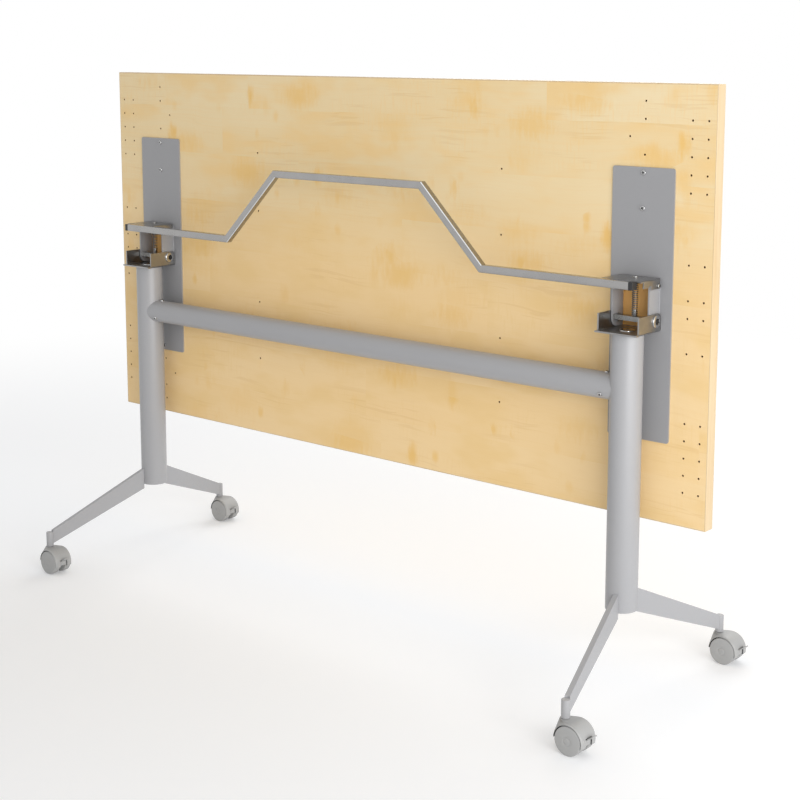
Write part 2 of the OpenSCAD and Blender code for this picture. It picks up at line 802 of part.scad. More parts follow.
module at_axle(sx, sy) {
    at_stem(sx, sy) translate([trail, 0, axle_z]) children();
}

// Spins an outline of radius and width about the axle
module about_axle(facets = 64) {
    rotate([-90, 0, 0]) rotate_extrude($fn = facets) children();
}

module hood_profile() {
    translate([0, -hood_half]) square([hood_r - hood_round, 2 * hood_half]);
    translate([0, -hood_half + hood_round]) square([hood_r, 2 * (hood_half - hood_round)]);
    for (s = [LEFT, RIGHT]) translate([hood_r - hood_round, s * (hood_half - hood_round)])
        circle(r = hood_round);
}

// The moulded hood swells from the round boss at its stem to the full width over both wheels
module hood_outside() {
    $fn = hood_facets;
    hull() {
        about_axle(hood_facets) hood_profile();
        translate([-trail, 0, 0]) cylinder(h = hood_r, d = stem_boss_d);
    }
}

// The hood ends on a slanted line, lower at the back than at the front
module below_hood() {
    along_y(-hood_half - cut, 2 * (hood_half + cut)) polygon([
        [-hood_r - cut, hood_front_low], [hood_r + cut, hood_rear_low],
        [hood_r + cut, -hood_r - cut], [-hood_r - cut, -hood_r - cut]]);
}

module caster_housing(sx, sy) {
    pocket_r = wheel_d / 2 + hood_gap;
    window_x = pedal_pivot_x + pedal_pin_d / 2 + pin_wall;
    window_half = pedal_w / 2 + window_gap;
    color(grey_plastic) at_axle(sx, sy) difference() {
        union() {
            difference() {
                hood_outside();
                below_hood();
            }
            rotate([90, 0, 0]) cylinder(h = 2 * web_half, d = axle_boss_d, center = true);
        }
        for (s = [LEFT, RIGHT]) translate([0, s * (web_half + hood_half), 0]) rotate([90, 0, 0])
            cylinder(h = 2 * hood_half, r = pocket_r, center = true);
        translate([-trail, 0, hood_r - stem_in_hood])
            cylinder(h = stem_in_hood + cut, d = stem_d + 2 * fit_gap);
        rotate([90, 0, 0]) cylinder(h = 2 * web_half + 2 * cut, d = axle_d, center = true);
        translate([pedal_pivot_x - slot_front, -pedal_arm_w / 2 - seat_gap, pedal_pivot_up - slot_low])
            cube([hood_r, pedal_arm_w + 2 * seat_gap, slot_low + slot_high]);
        translate([window_x, -window_half, -hood_r])
            cube([hood_r, 2 * window_half, hood_r + pedal_pivot_up + slot_high]);
        translate([pedal_pivot_x, 0, pedal_pivot_up]) rotate([90, 0, 0])
            cylinder(h = 2 * web_half + cut, d = pedal_pin_d + 2 * fit_gap, center = true);
    }
}

module caster_axle(sx, sy) {
    color(zinc) at_axle(sx, sy) rotate([90, 0, 0])
        cylinder(h = 2 * (wheel_in + wheel_w / 2), d = axle_d, center = true);
}

module wheel_profile() {
    flat = wheel_crown - dome;
    face_r = wheel_d / 2 - tread_round;
    dome_r = (pow(face_r, 2) + pow(dome, 2)) / (2 * dome);
    translate([0, wheel_in]) square([face_r, flat - wheel_in]);
    translate([0, wheel_in]) square([wheel_d / 2, flat - tread_round - wheel_in]);
    translate([face_r, flat - tread_round]) circle(r = tread_round);
    intersection() {
        translate([0, flat - cut]) square([face_r, dome + 2 * cut]);
        translate([0, wheel_crown - dome_r]) circle(r = dome_r, $fn = 200);
    }
}

// Each wheel is closed on its domed face and bored from the inside
module caster_wheel(sx, sy, out) {
    color(grey_plastic) at_axle(sx, sy) mirror([0, out * sy > 0 ? 0 : 1, 0]) difference() {
        about_axle() wheel_profile();
        rod_y(0, 0, 0, wheel_in + wheel_w / 2 + seat_gap, axle_d / 2 + fit_gap);
    }
}

// Side outline of the blade and of the skirt under its root
module pedal_blade() {
    slope = atan2(pedal_tip_up - pedal_root_up, pedal_tip_x - pedal_root_x);
    thick = [pedal_t * sin(slope), -pedal_t * cos(slope)];
    root = [pedal_root_x, pedal_root_up];
    tip = [pedal_tip_x, pedal_tip_up];
    polygon([root, tip, tip + thick, root + thick]);
    polygon([root, root + pedal_skirt_t * [1, tan(slope)], [pedal_root_x + pedal_skirt_t, pedal_skirt_low],
        [pedal_root_x, pedal_skirt_low]]);
}

// Side outline of the narrow arm, from the round about the pivot to the blade
module pedal_arm() {
    pivot = [pedal_pivot_x, pedal_pivot_up];
    translate(pivot) circle(r = pedal_arm_r);
    polygon([pivot + [0, pedal_arm_r], [pedal_root_x + pedal_skirt_t / 2, pedal_root_up],
        [pedal_root_x + pedal_skirt_t / 2, pedal_pivot_up - pedal_arm_r], pivot + [0, -pedal_arm_r]]);
}

module brake_pedal(sx, sy) {
    color(grey_plastic) at_axle(sx, sy) {
        along_y(-pedal_arm_w / 2, pedal_arm_w) pedal_arm();
        along_y(-pedal_w / 2, pedal_w) pedal_blade();
        translate([pedal_pivot_x, 0, pedal_pivot_up]) rotate([90, 0, 0])
            cylinder(h = 2 * web_half - seat_gap, d = pedal_pin_d, center = true);
    }
}

worktop();
edge_band();
mounting_plate(LEFT);  // mounting_plate_left
mounting_plate(RIGHT);  // mounting_plate_right
plate_screws();
spring_seat(LEFT);  // spring_seat_left
spring_seat(RIGHT);  // spring_seat_right
return_spring(LEFT);  // return_spring_left
return_spring(RIGHT);  // return_spring_right
spring_anchors_lower();
lever_pivot_screws();
release_lever(LEFT);  // release_lever_left
release_lever(RIGHT);  // release_lever_right
release_bar();
bar_end_plugs();
spring_anchors_upper();
column(LEFT);  // column_left
column(RIGHT);  // column_right
column_inserts();
column_caps();
crossbar();
crossbar_spigots();
crossbar_screws();
hinge_bracket(LEFT);  // hinge_bracket_left
hinge_bracket(RIGHT);  // hinge_bracket_right
bracket_bolts();
flip_pivot_bolts();
flip_pivot_nuts();
foot_arm(LEFT, FRONT);  // foot_arm_front_left
foot_arm(RIGHT, FRONT);  // foot_arm_front_right
foot_arm(LEFT, REAR);  // foot_arm_rear_left
foot_arm(RIGHT, REAR);  // foot_arm_rear_right
caster_socket(LEFT, FRONT);  // caster_socket_front_left
caster_socket(RIGHT, FRONT);  // caster_socket_front_right
caster_socket(LEFT, REAR);  // caster_socket_rear_left
caster_socket(RIGHT, REAR);  // caster_socket_rear_right
caster_stem(LEFT, FRONT);  // caster_stem_front_left
caster_stem(RIGHT, FRONT);  // caster_stem_front_right
caster_stem(LEFT, REAR);  // caster_stem_rear_left
caster_stem(RIGHT, REAR);  // caster_stem_rear_right
caster_housing(LEFT, FRONT);  // caster_housing_front_left
caster_housing(RIGHT, FRONT);  // caster_housing_front_right
caster_housing(LEFT, REAR);  // caster_housing_rear_left
caster_housing(RIGHT, REAR);  // caster_housing_rear_right
caster_axle(LEFT, FRONT);  // caster_axle_front_left
caster_axle(RIGHT, FRONT);  // caster_axle_front_right
caster_axle(LEFT, REAR);  // caster_axle_rear_left
caster_axle(RIGHT, REAR);  // caster_axle_rear_right
caster_wheel(LEFT, FRONT, 1);  // caster_wheel_front_left_outer
caster_wheel(LEFT, FRONT, -1);  // caster_wheel_front_left_inner
caster_wheel(RIGHT, FRONT, 1);  // caster_wheel_front_right_outer
caster_wheel(RIGHT, FRONT, -1);  // caster_wheel_front_right_inner
caster_wheel(LEFT, REAR, 1);  // caster_wheel_rear_left_outer
caster_wheel(LEFT, REAR, -1);  // caster_wheel_rear_left_inner
caster_wheel(RIGHT, REAR, 1);  // caster_wheel_rear_right_outer
caster_wheel(RIGHT, REAR, -1);  // caster_wheel_rear_right_inner
brake_pedal(LEFT, FRONT);  // brake_pedal_front_left
brake_pedal(RIGHT, FRONT);  // brake_pedal_front_right
brake_pedal(LEFT, REAR);  // brake_pedal_rear_left
brake_pedal(RIGHT, REAR);  // brake_pedal_rear_right
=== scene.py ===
"""Flip top training table: finishes, fine shapes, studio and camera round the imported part.
Metres, +Z up, X along the worktop. The underside of the upright worktop faces -Y."""
import json
import math

import bmesh
import bpy
from mathutils import Matrix, Vector

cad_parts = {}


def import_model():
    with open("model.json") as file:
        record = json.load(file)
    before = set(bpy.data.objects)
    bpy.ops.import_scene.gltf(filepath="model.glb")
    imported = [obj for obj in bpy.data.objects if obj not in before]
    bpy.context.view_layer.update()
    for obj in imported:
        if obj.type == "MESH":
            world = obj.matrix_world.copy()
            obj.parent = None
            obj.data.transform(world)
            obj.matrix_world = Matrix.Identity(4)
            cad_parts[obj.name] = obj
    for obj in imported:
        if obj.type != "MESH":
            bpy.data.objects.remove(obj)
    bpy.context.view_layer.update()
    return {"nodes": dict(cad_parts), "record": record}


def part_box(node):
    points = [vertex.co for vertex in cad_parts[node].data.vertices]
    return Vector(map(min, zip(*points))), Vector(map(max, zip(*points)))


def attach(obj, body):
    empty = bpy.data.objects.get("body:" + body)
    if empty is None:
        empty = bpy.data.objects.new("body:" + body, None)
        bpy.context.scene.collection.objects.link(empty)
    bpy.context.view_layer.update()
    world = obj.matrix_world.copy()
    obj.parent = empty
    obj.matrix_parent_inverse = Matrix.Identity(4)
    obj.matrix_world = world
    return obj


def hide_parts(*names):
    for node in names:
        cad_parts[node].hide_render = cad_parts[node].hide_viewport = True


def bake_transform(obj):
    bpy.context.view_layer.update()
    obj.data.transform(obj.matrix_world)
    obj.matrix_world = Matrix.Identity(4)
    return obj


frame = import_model()

MM = 0.001
SIDES = ("left", "right")
CORNERS = ("front_left", "front_right", "rear_left", "rear_right")
BODIES = frame["record"]["behaviour"]["bodies"]
BODY_OF = {node: body for body, nodes in BODIES.items() for node in nodes}
SLOT_OF = {part["node"]: part["material_slot"] for part in frame["record"]["subparts"]}

SHEET_T = 3 * MM        # mounting plates and the brackets' floors
TUBE_WALL = 2 * MM      # columns and crossbar
EDGE_T = 2 * MM         # edge band of the worktop
WELD = 0.002 * MM       # corners closer than this are one
SMOOTH_UP_TO = 32       # degrees between faces that still shade as one surface
WHITE = (1, 1, 1, 1)


def middle(node):
    """The middle of a CAD node's box."""
    low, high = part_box(node)
    return (low + high) / 2


def radius_of(node):
    """Half of a CAD node's span along X."""
    low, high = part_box(node)
    return (high.x - low.x) / 2


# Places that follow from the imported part
board_low, board_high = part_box("edge_band")
board_face = board_low.y
board_mid = middle("edge_band")
column_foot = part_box("column_left")[0].z
column_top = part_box("column_left")[1].z
column_x = middle("column_right").x
column_r = radius_of("column_right")
crossbar_r = (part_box("crossbar")[1].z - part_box("crossbar")[0].z) / 2
crossbar_z = middle("crossbar").z


# Nodes

def feed(tree, target, value):
    """Joins a socket to an input, or sets the input to a plain value."""
    if isinstance(value, bpy.types.NodeSocket):
        tree.links.new(value, target)
    else:
        target.default_value = value


def add_node(tree, kind, feeds=(), **settings):
    """A node with its settings made first, then its inputs, by name or number."""
    made = tree.nodes.new(kind)
    for key, value in settings.items():
        setattr(made, key, value)
    for name, value in dict(feeds).items():
        feed(tree, made.inputs[name], value)
    return made


# Finishes

def srgb(red, green, blue):
    """The linear colour of an 8-bit display colour."""
    def linear(level):
        """The linear value of one display level."""
        share = level / 255
        return share / 12.92 if share <= 0.04045 else ((share + 0.055) / 1.055) ** 2.4
    return (linear(red), linear(green), linear(blue), 1.0)


class Finish:
    """One material: a Principled shader and the pattern nodes that its finish needs."""

    def __init__(self, name, colour, metallic=0.0, roughness=0.5):
        self.material = bpy.data.materials.new(name)
        self.material.use_nodes = True
        self.tree = self.material.node_tree
        self.shader = self.tree.nodes["Principled BSDF"]
        self.set("Base Color", colour)
        self.set("Metallic", metallic)
        self.set("Roughness", roughness)
        self.place = self.node("ShaderNodeTexCoord").outputs["Object"]
        self.material.diffuse_color = colour

    def set(self, name, value):
        """A constant on the shader's own socket, or a link to it."""
        feed(self.tree, self.shader.inputs[name], value)

    def node(self, kind, feeds=(), **settings):
        """A node of this material."""
        return add_node(self.tree, kind, feeds, **settings)

    def stretched(self, scale, place=None):
        """The place with its axes scaled."""
        return self.node("ShaderNodeMapping", {
            "Vector": place or self.place, "Scale": scale}).outputs["Vector"]

    def noise(self, scale, detail=2.0, rough=0.5, place=None, swirl=0.0):
        """Noise with its waves per metre along each axis."""
        return self.node("ShaderNodeTexNoise", {
            "Vector": self.stretched(scale, place), "Scale": 1.0, "Detail": detail,
            "Roughness": rough, "Distortion": swirl}).outputs["Fac"]

    def span(self, value, low, high, start=0.0, end=1.0):
        """A smooth step from start at low to end at high."""
        return self.node("ShaderNodeMapRange", {
            "Value": value, "From Min": low, "From Max": high, "To Min": start, "To Max": end},
            interpolation_type="SMOOTHSTEP").outputs["Result"]

    def maths(self, operation, first, second=0.0, third=0.0):
        """The result of one step of arithmetic."""
        return self.node("ShaderNodeMath", {0: first, 1: second, 2: third},
                         operation=operation).outputs["Value"]

    def mix(self, share, first, second):
        """Colours first and second, with share of the second."""
        made = self.node("ShaderNodeMix", data_type="RGBA")
        sockets = {socket.identifier: socket for socket in made.inputs}
        for name, value in (("Factor_Float", share), ("A_Color", first), ("B_Color", second)):
            feed(self.tree, sockets[name], value)
        return next(socket for socket in made.outputs if socket.identifier == "Result_Color")

    def split(self, place=None):
        """The three parts of a place or a colour."""
        made = self.node("ShaderNodeSeparateXYZ", {"Vector": place or self.place})
        return made.outputs["X"], made.outputs["Y"], made.outputs["Z"]

    def joined(self, x, y, z):
        """Three numbers as one place."""
        return self.node("ShaderNodeCombineXYZ", {0: x, 1: y, 2: z}).outputs["Vector"]

    def distance(self, value, centre):
        """How far the value lies from the centre, either way."""
        return self.maths("ABSOLUTE", self.maths("SUBTRACT", value, centre))

    def lot(self, number):
        """A chance value from 0 to 1 for each whole number."""
        return self.node("ShaderNodeTexWhiteNoise", {"W": number}, noise_dimensions="1D").outputs["Value"]

    def blots(self, cell, share, radius, ragged, offset=0.0):
        """Soft blots in a share of the cells across X and Z: 1 in the middle of a strong one."""
        place = self.stretched((1 / cell[0], 0, 1 / cell[1]))
        moved = self.node("ShaderNodeVectorMath", {0: place, 1: (offset, 0, offset)}, operation="ADD")
        cells = self.node("ShaderNodeTexVoronoi", {"Vector": moved.outputs["Vector"], "Scale": 1.0})
        chance, strength, _ = self.split(cells.outputs["Color"])
        edge = self.noise((105, 1, 30), 3, 0.6)
        far = self.maths("MULTIPLY_ADD", edge, 2 * ragged, cells.outputs["Distance"])
        spot = self.span(far, radius * 0.2 + ragged, radius * 1.3 + ragged, 1.0, 0.0)
        chosen = self.maths("MULTIPLY", spot, self.maths("LESS_THAN", chance, share))
        return self.maths("MULTIPLY", chosen, self.span(strength, 0.0, 1.0, 0.4, 1.0))

    def bump(self, height, distance, strength=1.0):
        """A fine relief from a height of 0 to 1, as deep as the distance."""
        made = self.node("ShaderNodeBump", {"Distance": distance, "Strength": strength, "Height": height})
        self.set("Normal", made.outputs["Normal"])


# Depths below a face of the board: the print ends at the first, and the core is bare from the second
PRINT_END, CORE_START = 0.1 * MM, 0.3 * MM


def painted_glow_behind_hinges(made, x, y, z):
    """1 on the underside behind each hinge. Its orange tint is painted light: the glow of bounced light in
    the photo there.
    """
    above_column, half_wide, half_high = 50 * MM, 50 * MM, 65 * MM
    soft_x, soft_z = 6 * MM, 10 * MM
    off_column = made.distance(made.maths("ABSOLUTE", x), column_x)
    off_hinge = made.distance(z, column_top + above_column)
    wide = made.span(off_column, half_wide - soft_x, half_wide + soft_x, 1.0, 0.0)
    high = made.span(off_hinge, half_high - soft_z, half_high + soft_z, 0.85, 0.0)
    underside = made.span(y, board_face + PRINT_END, board_face + CORE_START, 1.0, 0.0)
    return made.maths("MULTIPLY", made.maths("MULTIPLY", wide, high), underside)


def board_inside(made, y):
    """1 between the two faces of the board, as in the pilot holes."""
    past_underside = made.span(y, board_face + PRINT_END, board_face + CORE_START)
    before_top = made.span(y, board_high.y - CORE_START, board_high.y - PRINT_END, 1.0, 0.0)
    return made.maths("MULTIPLY", past_underside, before_top)


def plank_layout(made, x, z):
    """A chance value for each length of plank: the print shows wavy planks along X."""
    planks_a_metre, lengths_a_metre = 9.4, 1.25
    wave = made.maths("MULTIPLY", made.noise((2.1, 1, 1), 2), 0.016)
    plank = made.maths("FLOOR", made.maths("MULTIPLY", made.maths("ADD", z, wave), planks_a_metre))
    stagger = made.maths("MULTIPLY", made.lot(plank), 5.0)
    length = made.maths("FLOOR", made.maths("MULTIPLY_ADD", x, lengths_a_metre, stagger))
    return made.lot(made.maths("MULTIPLY_ADD", plank, 17.3, length))


def maple_laminate():
    """Honey maple print: planks with fine grain, amber flecks and blots, and chipboard inside the holes.
    Painted light makes the lower half of the upright board warmer, as in the photo."""
    made = Finish("maple_laminate", srgb(238, 212, 165))
    light, mid, warm = srgb(243, 223, 182), srgb(240, 213, 163), srgb(243, 208, 147)
    amber, deep = srgb(240, 195, 114), srgb(222, 180, 116)
    warm_below, plain_above = board_mid.z - 60 * MM, board_mid.z + 240 * MM
    x, y, z = made.split()
    lot = plank_layout(made, x, z)
    sway = made.maths("MULTIPLY", made.noise((2.6, 1, 5), 3), 0.05)
    place = made.joined(made.maths("MULTIPLY_ADD", lot, 7.0, x), y,
                        made.maths("ADD", made.maths("MULTIPLY_ADD", lot, 3.0, z), sway))
    cloud = made.noise((2.2, 1, 8), 3, 0.55)
    drift = made.noise((4.2, 1, 10), 3, 0.6, place)
    fibre = made.noise((22, 1, 1300), 3, 0.6, place)
    lines = made.noise((2.2, 1, 150), 4, 0.6, place)
    waves = made.noise((6, 1, 130), 2, 0.5, place, swirl=0.7)
    quilt = made.noise((210, 1, 24), 2, 0.5, place)
    figured = made.span(made.noise((3.4, 1, 8), 2), 0.47, 0.62)
    flecks = made.blots((0.052, 0.090), 0.22, 0.30, 0.20)
    knots = made.blots((0.150, 0.080), 0.38, 0.40, 0.3, 3.7)
    specks = made.blots((0.030, 0.044), 0.13, 0.34, 0.16, 8.3)
    patchy = made.span(made.noise((3.0, 1, 6), 2, swirl=0.4), 0.42, 0.58, 0.25, 1.0)
    painted_light_low = made.span(z, warm_below, plain_above, 0.45, 0.0)
    tone = made.maths("ADD", made.span(cloud, 0.34, 0.68, 0.0, 0.45), made.maths("MULTIPLY", lot, 0.55))
    colour = made.mix(tone, light, mid)
    for share, tint in (
            # Painted light: the lower half warmer and redder, where the lamps leave it dimmer
            (painted_light_low, srgb(255, 212, 148)),
            (made.span(drift, 0.44, 0.66, 0.0, 0.85), warm),
            (made.span(lines, 0.46, 0.72, 0.0, 0.26), warm),
            (made.maths("MULTIPLY", made.span(waves, 0.57, 0.64, 0.0, 0.22), figured), deep),
            (made.maths("MULTIPLY", made.span(quilt, 0.50, 0.70, 0.0, 0.42), figured), warm),
            (made.maths("MULTIPLY", knots, 0.55), amber),
            (made.maths("MULTIPLY", flecks, 0.85), amber),
            (made.maths("MULTIPLY", specks, made.maths("MULTIPLY", patchy, 0.7)), amber),
            (made.span(fibre, 0.4, 0.75, 0.0, 0.07), deep),
            # Painted light: an orange glow of bounced light behind each hinge
            (painted_glow_behind_hinges(made, x, y, z), srgb(255, 192, 110))):
        colour = made.mix(share, colour, tint)
    chip = made.span(made.noise((420, 420, 420), 3), 0.35, 0.65)
    chipboard = made.mix(chip, srgb(96, 66, 36), srgb(150, 112, 70))
    made.set("Base Color", made.mix(board_inside(made, y), colour, chipboard))
    made.set("Roughness", made.span(fibre, 0.3, 0.7, 0.54, 0.64))
    made.set("Specular IOR Level", 0.3)
    made.bump(fibre, 0.02 * MM, 0.35)
    return made.material


def maple_edge():
    """Plastic edging printed like maple, a little darker, with fine lines along each edge."""
    made = Finish("maple_edge", srgb(226, 200, 158))
    x, y, z = made.split()
    along_x = made.noise((3, 90, 20), 3)
    along_z = made.noise((20, 90, 3), 3)
    ends = made.span(made.maths("ABSOLUTE", x), board_high.x - 1.2 * EDGE_T, board_high.x - EDGE_T)
    lines = made.node("ShaderNodeMix", {0: ends, 2: along_x, 3: along_z}, data_type="FLOAT").outputs[0]
    cloud = made.noise((5, 30, 5), 2)
    colour = made.mix(made.span(cloud, 0.35, 0.7), srgb(219, 195, 156), srgb(212, 184, 140))
    colour = made.mix(made.span(lines, 0.5, 0.75, 0.0, 0.35), colour, srgb(202, 168, 120))
    made.set("Base Color", colour)
    made.set("Roughness", made.span(lines, 0.3, 0.7, 0.36, 0.46))
    made.bump(lines, 0.03 * MM, 0.3)
    return made.material


def silver_paint(name, level):
    """Semi-matt silver powder coat of that display level: fine orange peel and tiny flakes."""
    made = Finish(name, srgb(level, level, level + 2), 0.05, 0.38)
    flakes = made.noise((2600, 2600, 2600), 1)
    peel = made.noise((420, 420, 420), 2, 0.45)
    drift = made.noise((3, 3, 3), 2)
    dim, bright = (srgb(level + step, level + step, level + step + 2) for step in (-5, 5))
    colour = made.mix(made.span(flakes, 0.35, 0.68), dim, bright)
    cast = srgb(level - 7, level - 7, level - 4)
    made.set("Base Color", made.mix(made.span(drift, 0.35, 0.7, 0.0, 0.2), colour, cast))
    made.set("Roughness", made.span(peel, 0.3, 0.7, 0.34, 0.43))
    made.set("Specular IOR Level", 0.4)
    made.bump(peel, 0.05 * MM, 0.22)
    return made.material


def plated_steel(name, colour, dark, roughness, brushed, relief=0.25):
    """Plated sheet, tube or wire, with rolling lines and a drift of tone."""
    made = Finish(name, colour, 1.0, roughness)
    rolled = made.noise(brushed, 3, 0.6)
    drift = made.noise((34, 34, 34), 3, 0.55)
    made.set("Base Color", made.mix(made.span(drift, 0.3, 0.75, 0.0, 0.8), colour, dark))
    made.set("Roughness", made.maths("ADD", made.span(rolled, 0.3, 0.7, -0.04, 0.06),
                                     made.span(drift, 0.3, 0.7, roughness - 0.02, roughness + 0.05)))
    made.bump(rolled, 0.01 * MM, relief)
    return made.material


def moulded_plastic(name, colour, worn, roughness, grain):
    """Moulded plastic with a fine spark-eroded grain and faint scuffs."""
    made = Finish(name, colour, 0.0, roughness)
    texture = made.noise((grain, grain, grain), 2)
    scuffs = made.noise((90, 90, 420), 4, 0.7)
    made.set("Base Color", made.mix(made.span(scuffs, 0.56, 0.78, 0.0, 0.5), colour, worn))
    made.set("Roughness", made.span(texture, 0.3, 0.7, roughness - 0.05, roughness + 0.07))
    made.bump(texture, 0.03 * MM, 0.3)
    return made.material


# Display level of each paint. The plates' paint is a darker copy of the silver paint: painted shade on the
# mounting plates.
PAINTS = {"silver_paint": 169, "plates_painted_shade": 158}

# Colour, darker tone, roughness, rolling lines per metre, and relief where it isn't the usual one
STEELS = {
    "bright_steel": ((0.37, 0.365, 0.36, 1), (0.28, 0.275, 0.27, 1), 0.30, (40, 900, 900)),
    "satin_tube": ((0.37, 0.365, 0.36, 1), (0.34, 0.335, 0.33, 1), 0.22, (4, 60, 60), 0.05),
    # The bar's edge finish is a painted highlight on the sloping runs
    "tube_edge_painted_highlight": ((0.86, 0.87, 0.88, 1), (0.78, 0.79, 0.80, 1), 0.14, (4, 60, 60), 0.05),
    "zinc_steel": ((0.42, 0.42, 0.41, 1), (0.32, 0.32, 0.31, 1), 0.30, (500, 500, 500)),
    "chrome_bolt": ((0.52, 0.52, 0.52, 1), (0.42, 0.42, 0.42, 1), 0.14, (700, 700, 700)),
    "spring_steel": ((0.27, 0.27, 0.265, 1), (0.19, 0.19, 0.185, 1), 0.28, (900, 900, 90)),
}

# Colour, scuffed colour, roughness, grain per metre
PLASTICS = {
    "black_plastic": (srgb(34, 34, 36), srgb(60, 60, 62), 0.45, 1500),
    "grey_plastic": (srgb(168, 168, 167), srgb(158, 158, 157), 0.46, 1200),
    # Dark finish inside the caster hoods: painted shade in the gap round the wheels
    "hood_painted_shade": (srgb(92, 92, 92), srgb(80, 80, 80), 0.6, 1200),
    "grey_tread": (srgb(167, 167, 166), srgb(156, 156, 155), 0.5, 1200),
    # Dark finish on the floors of screw recesses and bolt sockets: painted shade
    "socket_painted_shade": (srgb(22, 22, 23), srgb(30, 30, 31), 0.6, 900),
}

FINISH = {"maple_laminate": maple_laminate(), "maple_edge": maple_edge()}
FINISH.update((name, silver_paint(name, level)) for name, level in PAINTS.items())
FINISH.update((name, plated_steel(name, *values)) for name, values in STEELS.items())
FINISH.update((name, moulded_plastic(name, *values)) for name, values in PLASTICS.items())


# Mesh helpers

def as_piece(name, source, finish, sharp=SMOOTH_UP_TO):
    """A shown object from a bmesh, smooth where its faces meet at less than the sharp angle in degrees."""
    mesh = bpy.data.meshes.new(name)
    source.to_mesh(mesh)
    source.free()
    mesh.materials.append(FINISH[finish])
    mesh.shade_smooth()
    mesh.set_sharp_from_angle(angle=math.radians(sharp))
    made = bpy.data.objects.new(name, mesh)
    bpy.context.scene.collection.objects.link(made)
    return made


def baked(made):
    """The object with its modifiers worked into a plain mesh."""
    bpy.context.view_layer.update()
    shape = made.evaluated_get(bpy.context.evaluated_depsgraph_get())
    mesh = bpy.data.meshes.new_from_object(shape)
    made.modifiers.clear()
    made.data = mesh
    return made


def seated(made, *nodes):
    """Rides and stands for CAD nodes of one body."""
    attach(made, BODY_OF[nodes[0]])
    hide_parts(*nodes)
    return made


def bevelled(made, width, segments, angle):
    """The object with the edges that are sharper than the angle in degrees rounded off."""
    bevel = made.modifiers.new("Edges", "BEVEL")
    bevel.width = width
    bevel.segments = segments
    bevel.limit_method = "ANGLE"
    bevel.angle_limit = math.radians(angle)
    bevel.use_clamp_overlap = True
    return baked(made)


def eased(node, width, segments=2, angle=30, broad=60 * MM * MM, finish=None):
    """The node's own shape with its edges eased, as bent and deburred metal or a moulding has them.
    Faces of more than the broad area shade flat, so that their eased edges leave no gradient on them."""
    shape = bmesh.new()
    shape.from_mesh(frame["nodes"][node].data)
    bmesh.ops.remove_doubles(shape, verts=shape.verts, dist=WELD)
    bmesh.ops.dissolve_limit(shape, angle_limit=math.radians(0.8), verts=shape.verts, edges=shape.edges)
    made = as_piece(node + "_eased", shape, finish or SLOT_OF[node], 180)
    bevelled(made, width, segments, angle)
    made.data.shade_smooth()
    made.data.set_sharp_from_angle(angle=math.radians(SMOOTH_UP_TO))
    for face in made.data.polygons:
        face.use_smooth = face.area < broad
    return seated(made, node)


def rounded(points, radius, steps=4, closed=False):
    """Points in the plane, each corner bent smoothly from where an arc of that radius would leave one
    side to where it would meet the other, or nearly half way along a shorter side."""
    found = []
    count = len(points)
    for i, corner in enumerate(points):
        corner = Vector(corner)
        if not closed and i in (0, count - 1):
            found.append(corner)
            continue
        before = Vector(points[i - 1]) - corner
        after = Vector(points[(i + 1) % count]) - corner
        half = before.angle(after) / 2
        reach = min(radius / math.tan(half), 0.49 * before.length, 0.49 * after.length)
        start, end = corner + before.normalized() * reach, corner + after.normalized() * reach
        for k in range(steps + 1):
            share = k / steps
            found.append((start * (1 - share) + corner * share) * (1 - share)
                         + (corner * (1 - share) + end * share) * share)
    return found


def skinned(shape, rings, closed):
    """Faces between each ring of corners and the next, and from the last to the first if closed."""
    following = rings[1:] + rings[:1] if closed else rings[1:]
    for one, other in zip(rings, following):
        for k in range(len(one)):
            n = (k + 1) % len(one)
            shape.faces.new((one[k], one[n], other[n], other[k]))


def turned(profile, to_frame, segments):
    """A closed lathe shape: profile has (radius, along) points, from pole or rim to pole or rim."""
    shape = bmesh.new()
    turns = [2 * math.pi * k / segments for k in range(segments)]
    rings = []
    for radius, along in profile:
        if radius < 0.001 * MM:
            points = [Vector((0, 0, along))]
        else:
            points = [Vector((radius * math.cos(a), radius * math.sin(a), along)) for a in turns]
        rings.append([shape.verts.new(to_frame @ point) for point in points])
    closed = len(rings[0]) > 1 and len(rings[-1]) > 1
    pairs = list(zip(rings, rings[1:])) + ([(rings[-1], rings[0])] if closed else [])
    for one, other in pairs:
        for k in range(segments):
            n = (k + 1) % segments
            corners = [one[k % len(one)], one[n % len(one)],
                       other[n % len(other)], other[k % len(other)]]
            corners = [v for i, v in enumerate(corners) if v not in corners[:i]]
            if len(corners) > 2:
                shape.faces.new(corners)
    bmesh.ops.recalc_face_normals(shape, faces=shape.faces)
    return shape


def standing(x, y):
    """A lathe axis up from the floor."""
    return Matrix.Translation((x, y, 0))


def lying(centre, way):
    """A lathe axis along +Y or -Y through the centre."""
    return Matrix.Translation(centre) @ Matrix.Rotation(-way * math.pi / 2, 4, "X")


# Repeats made by node trees

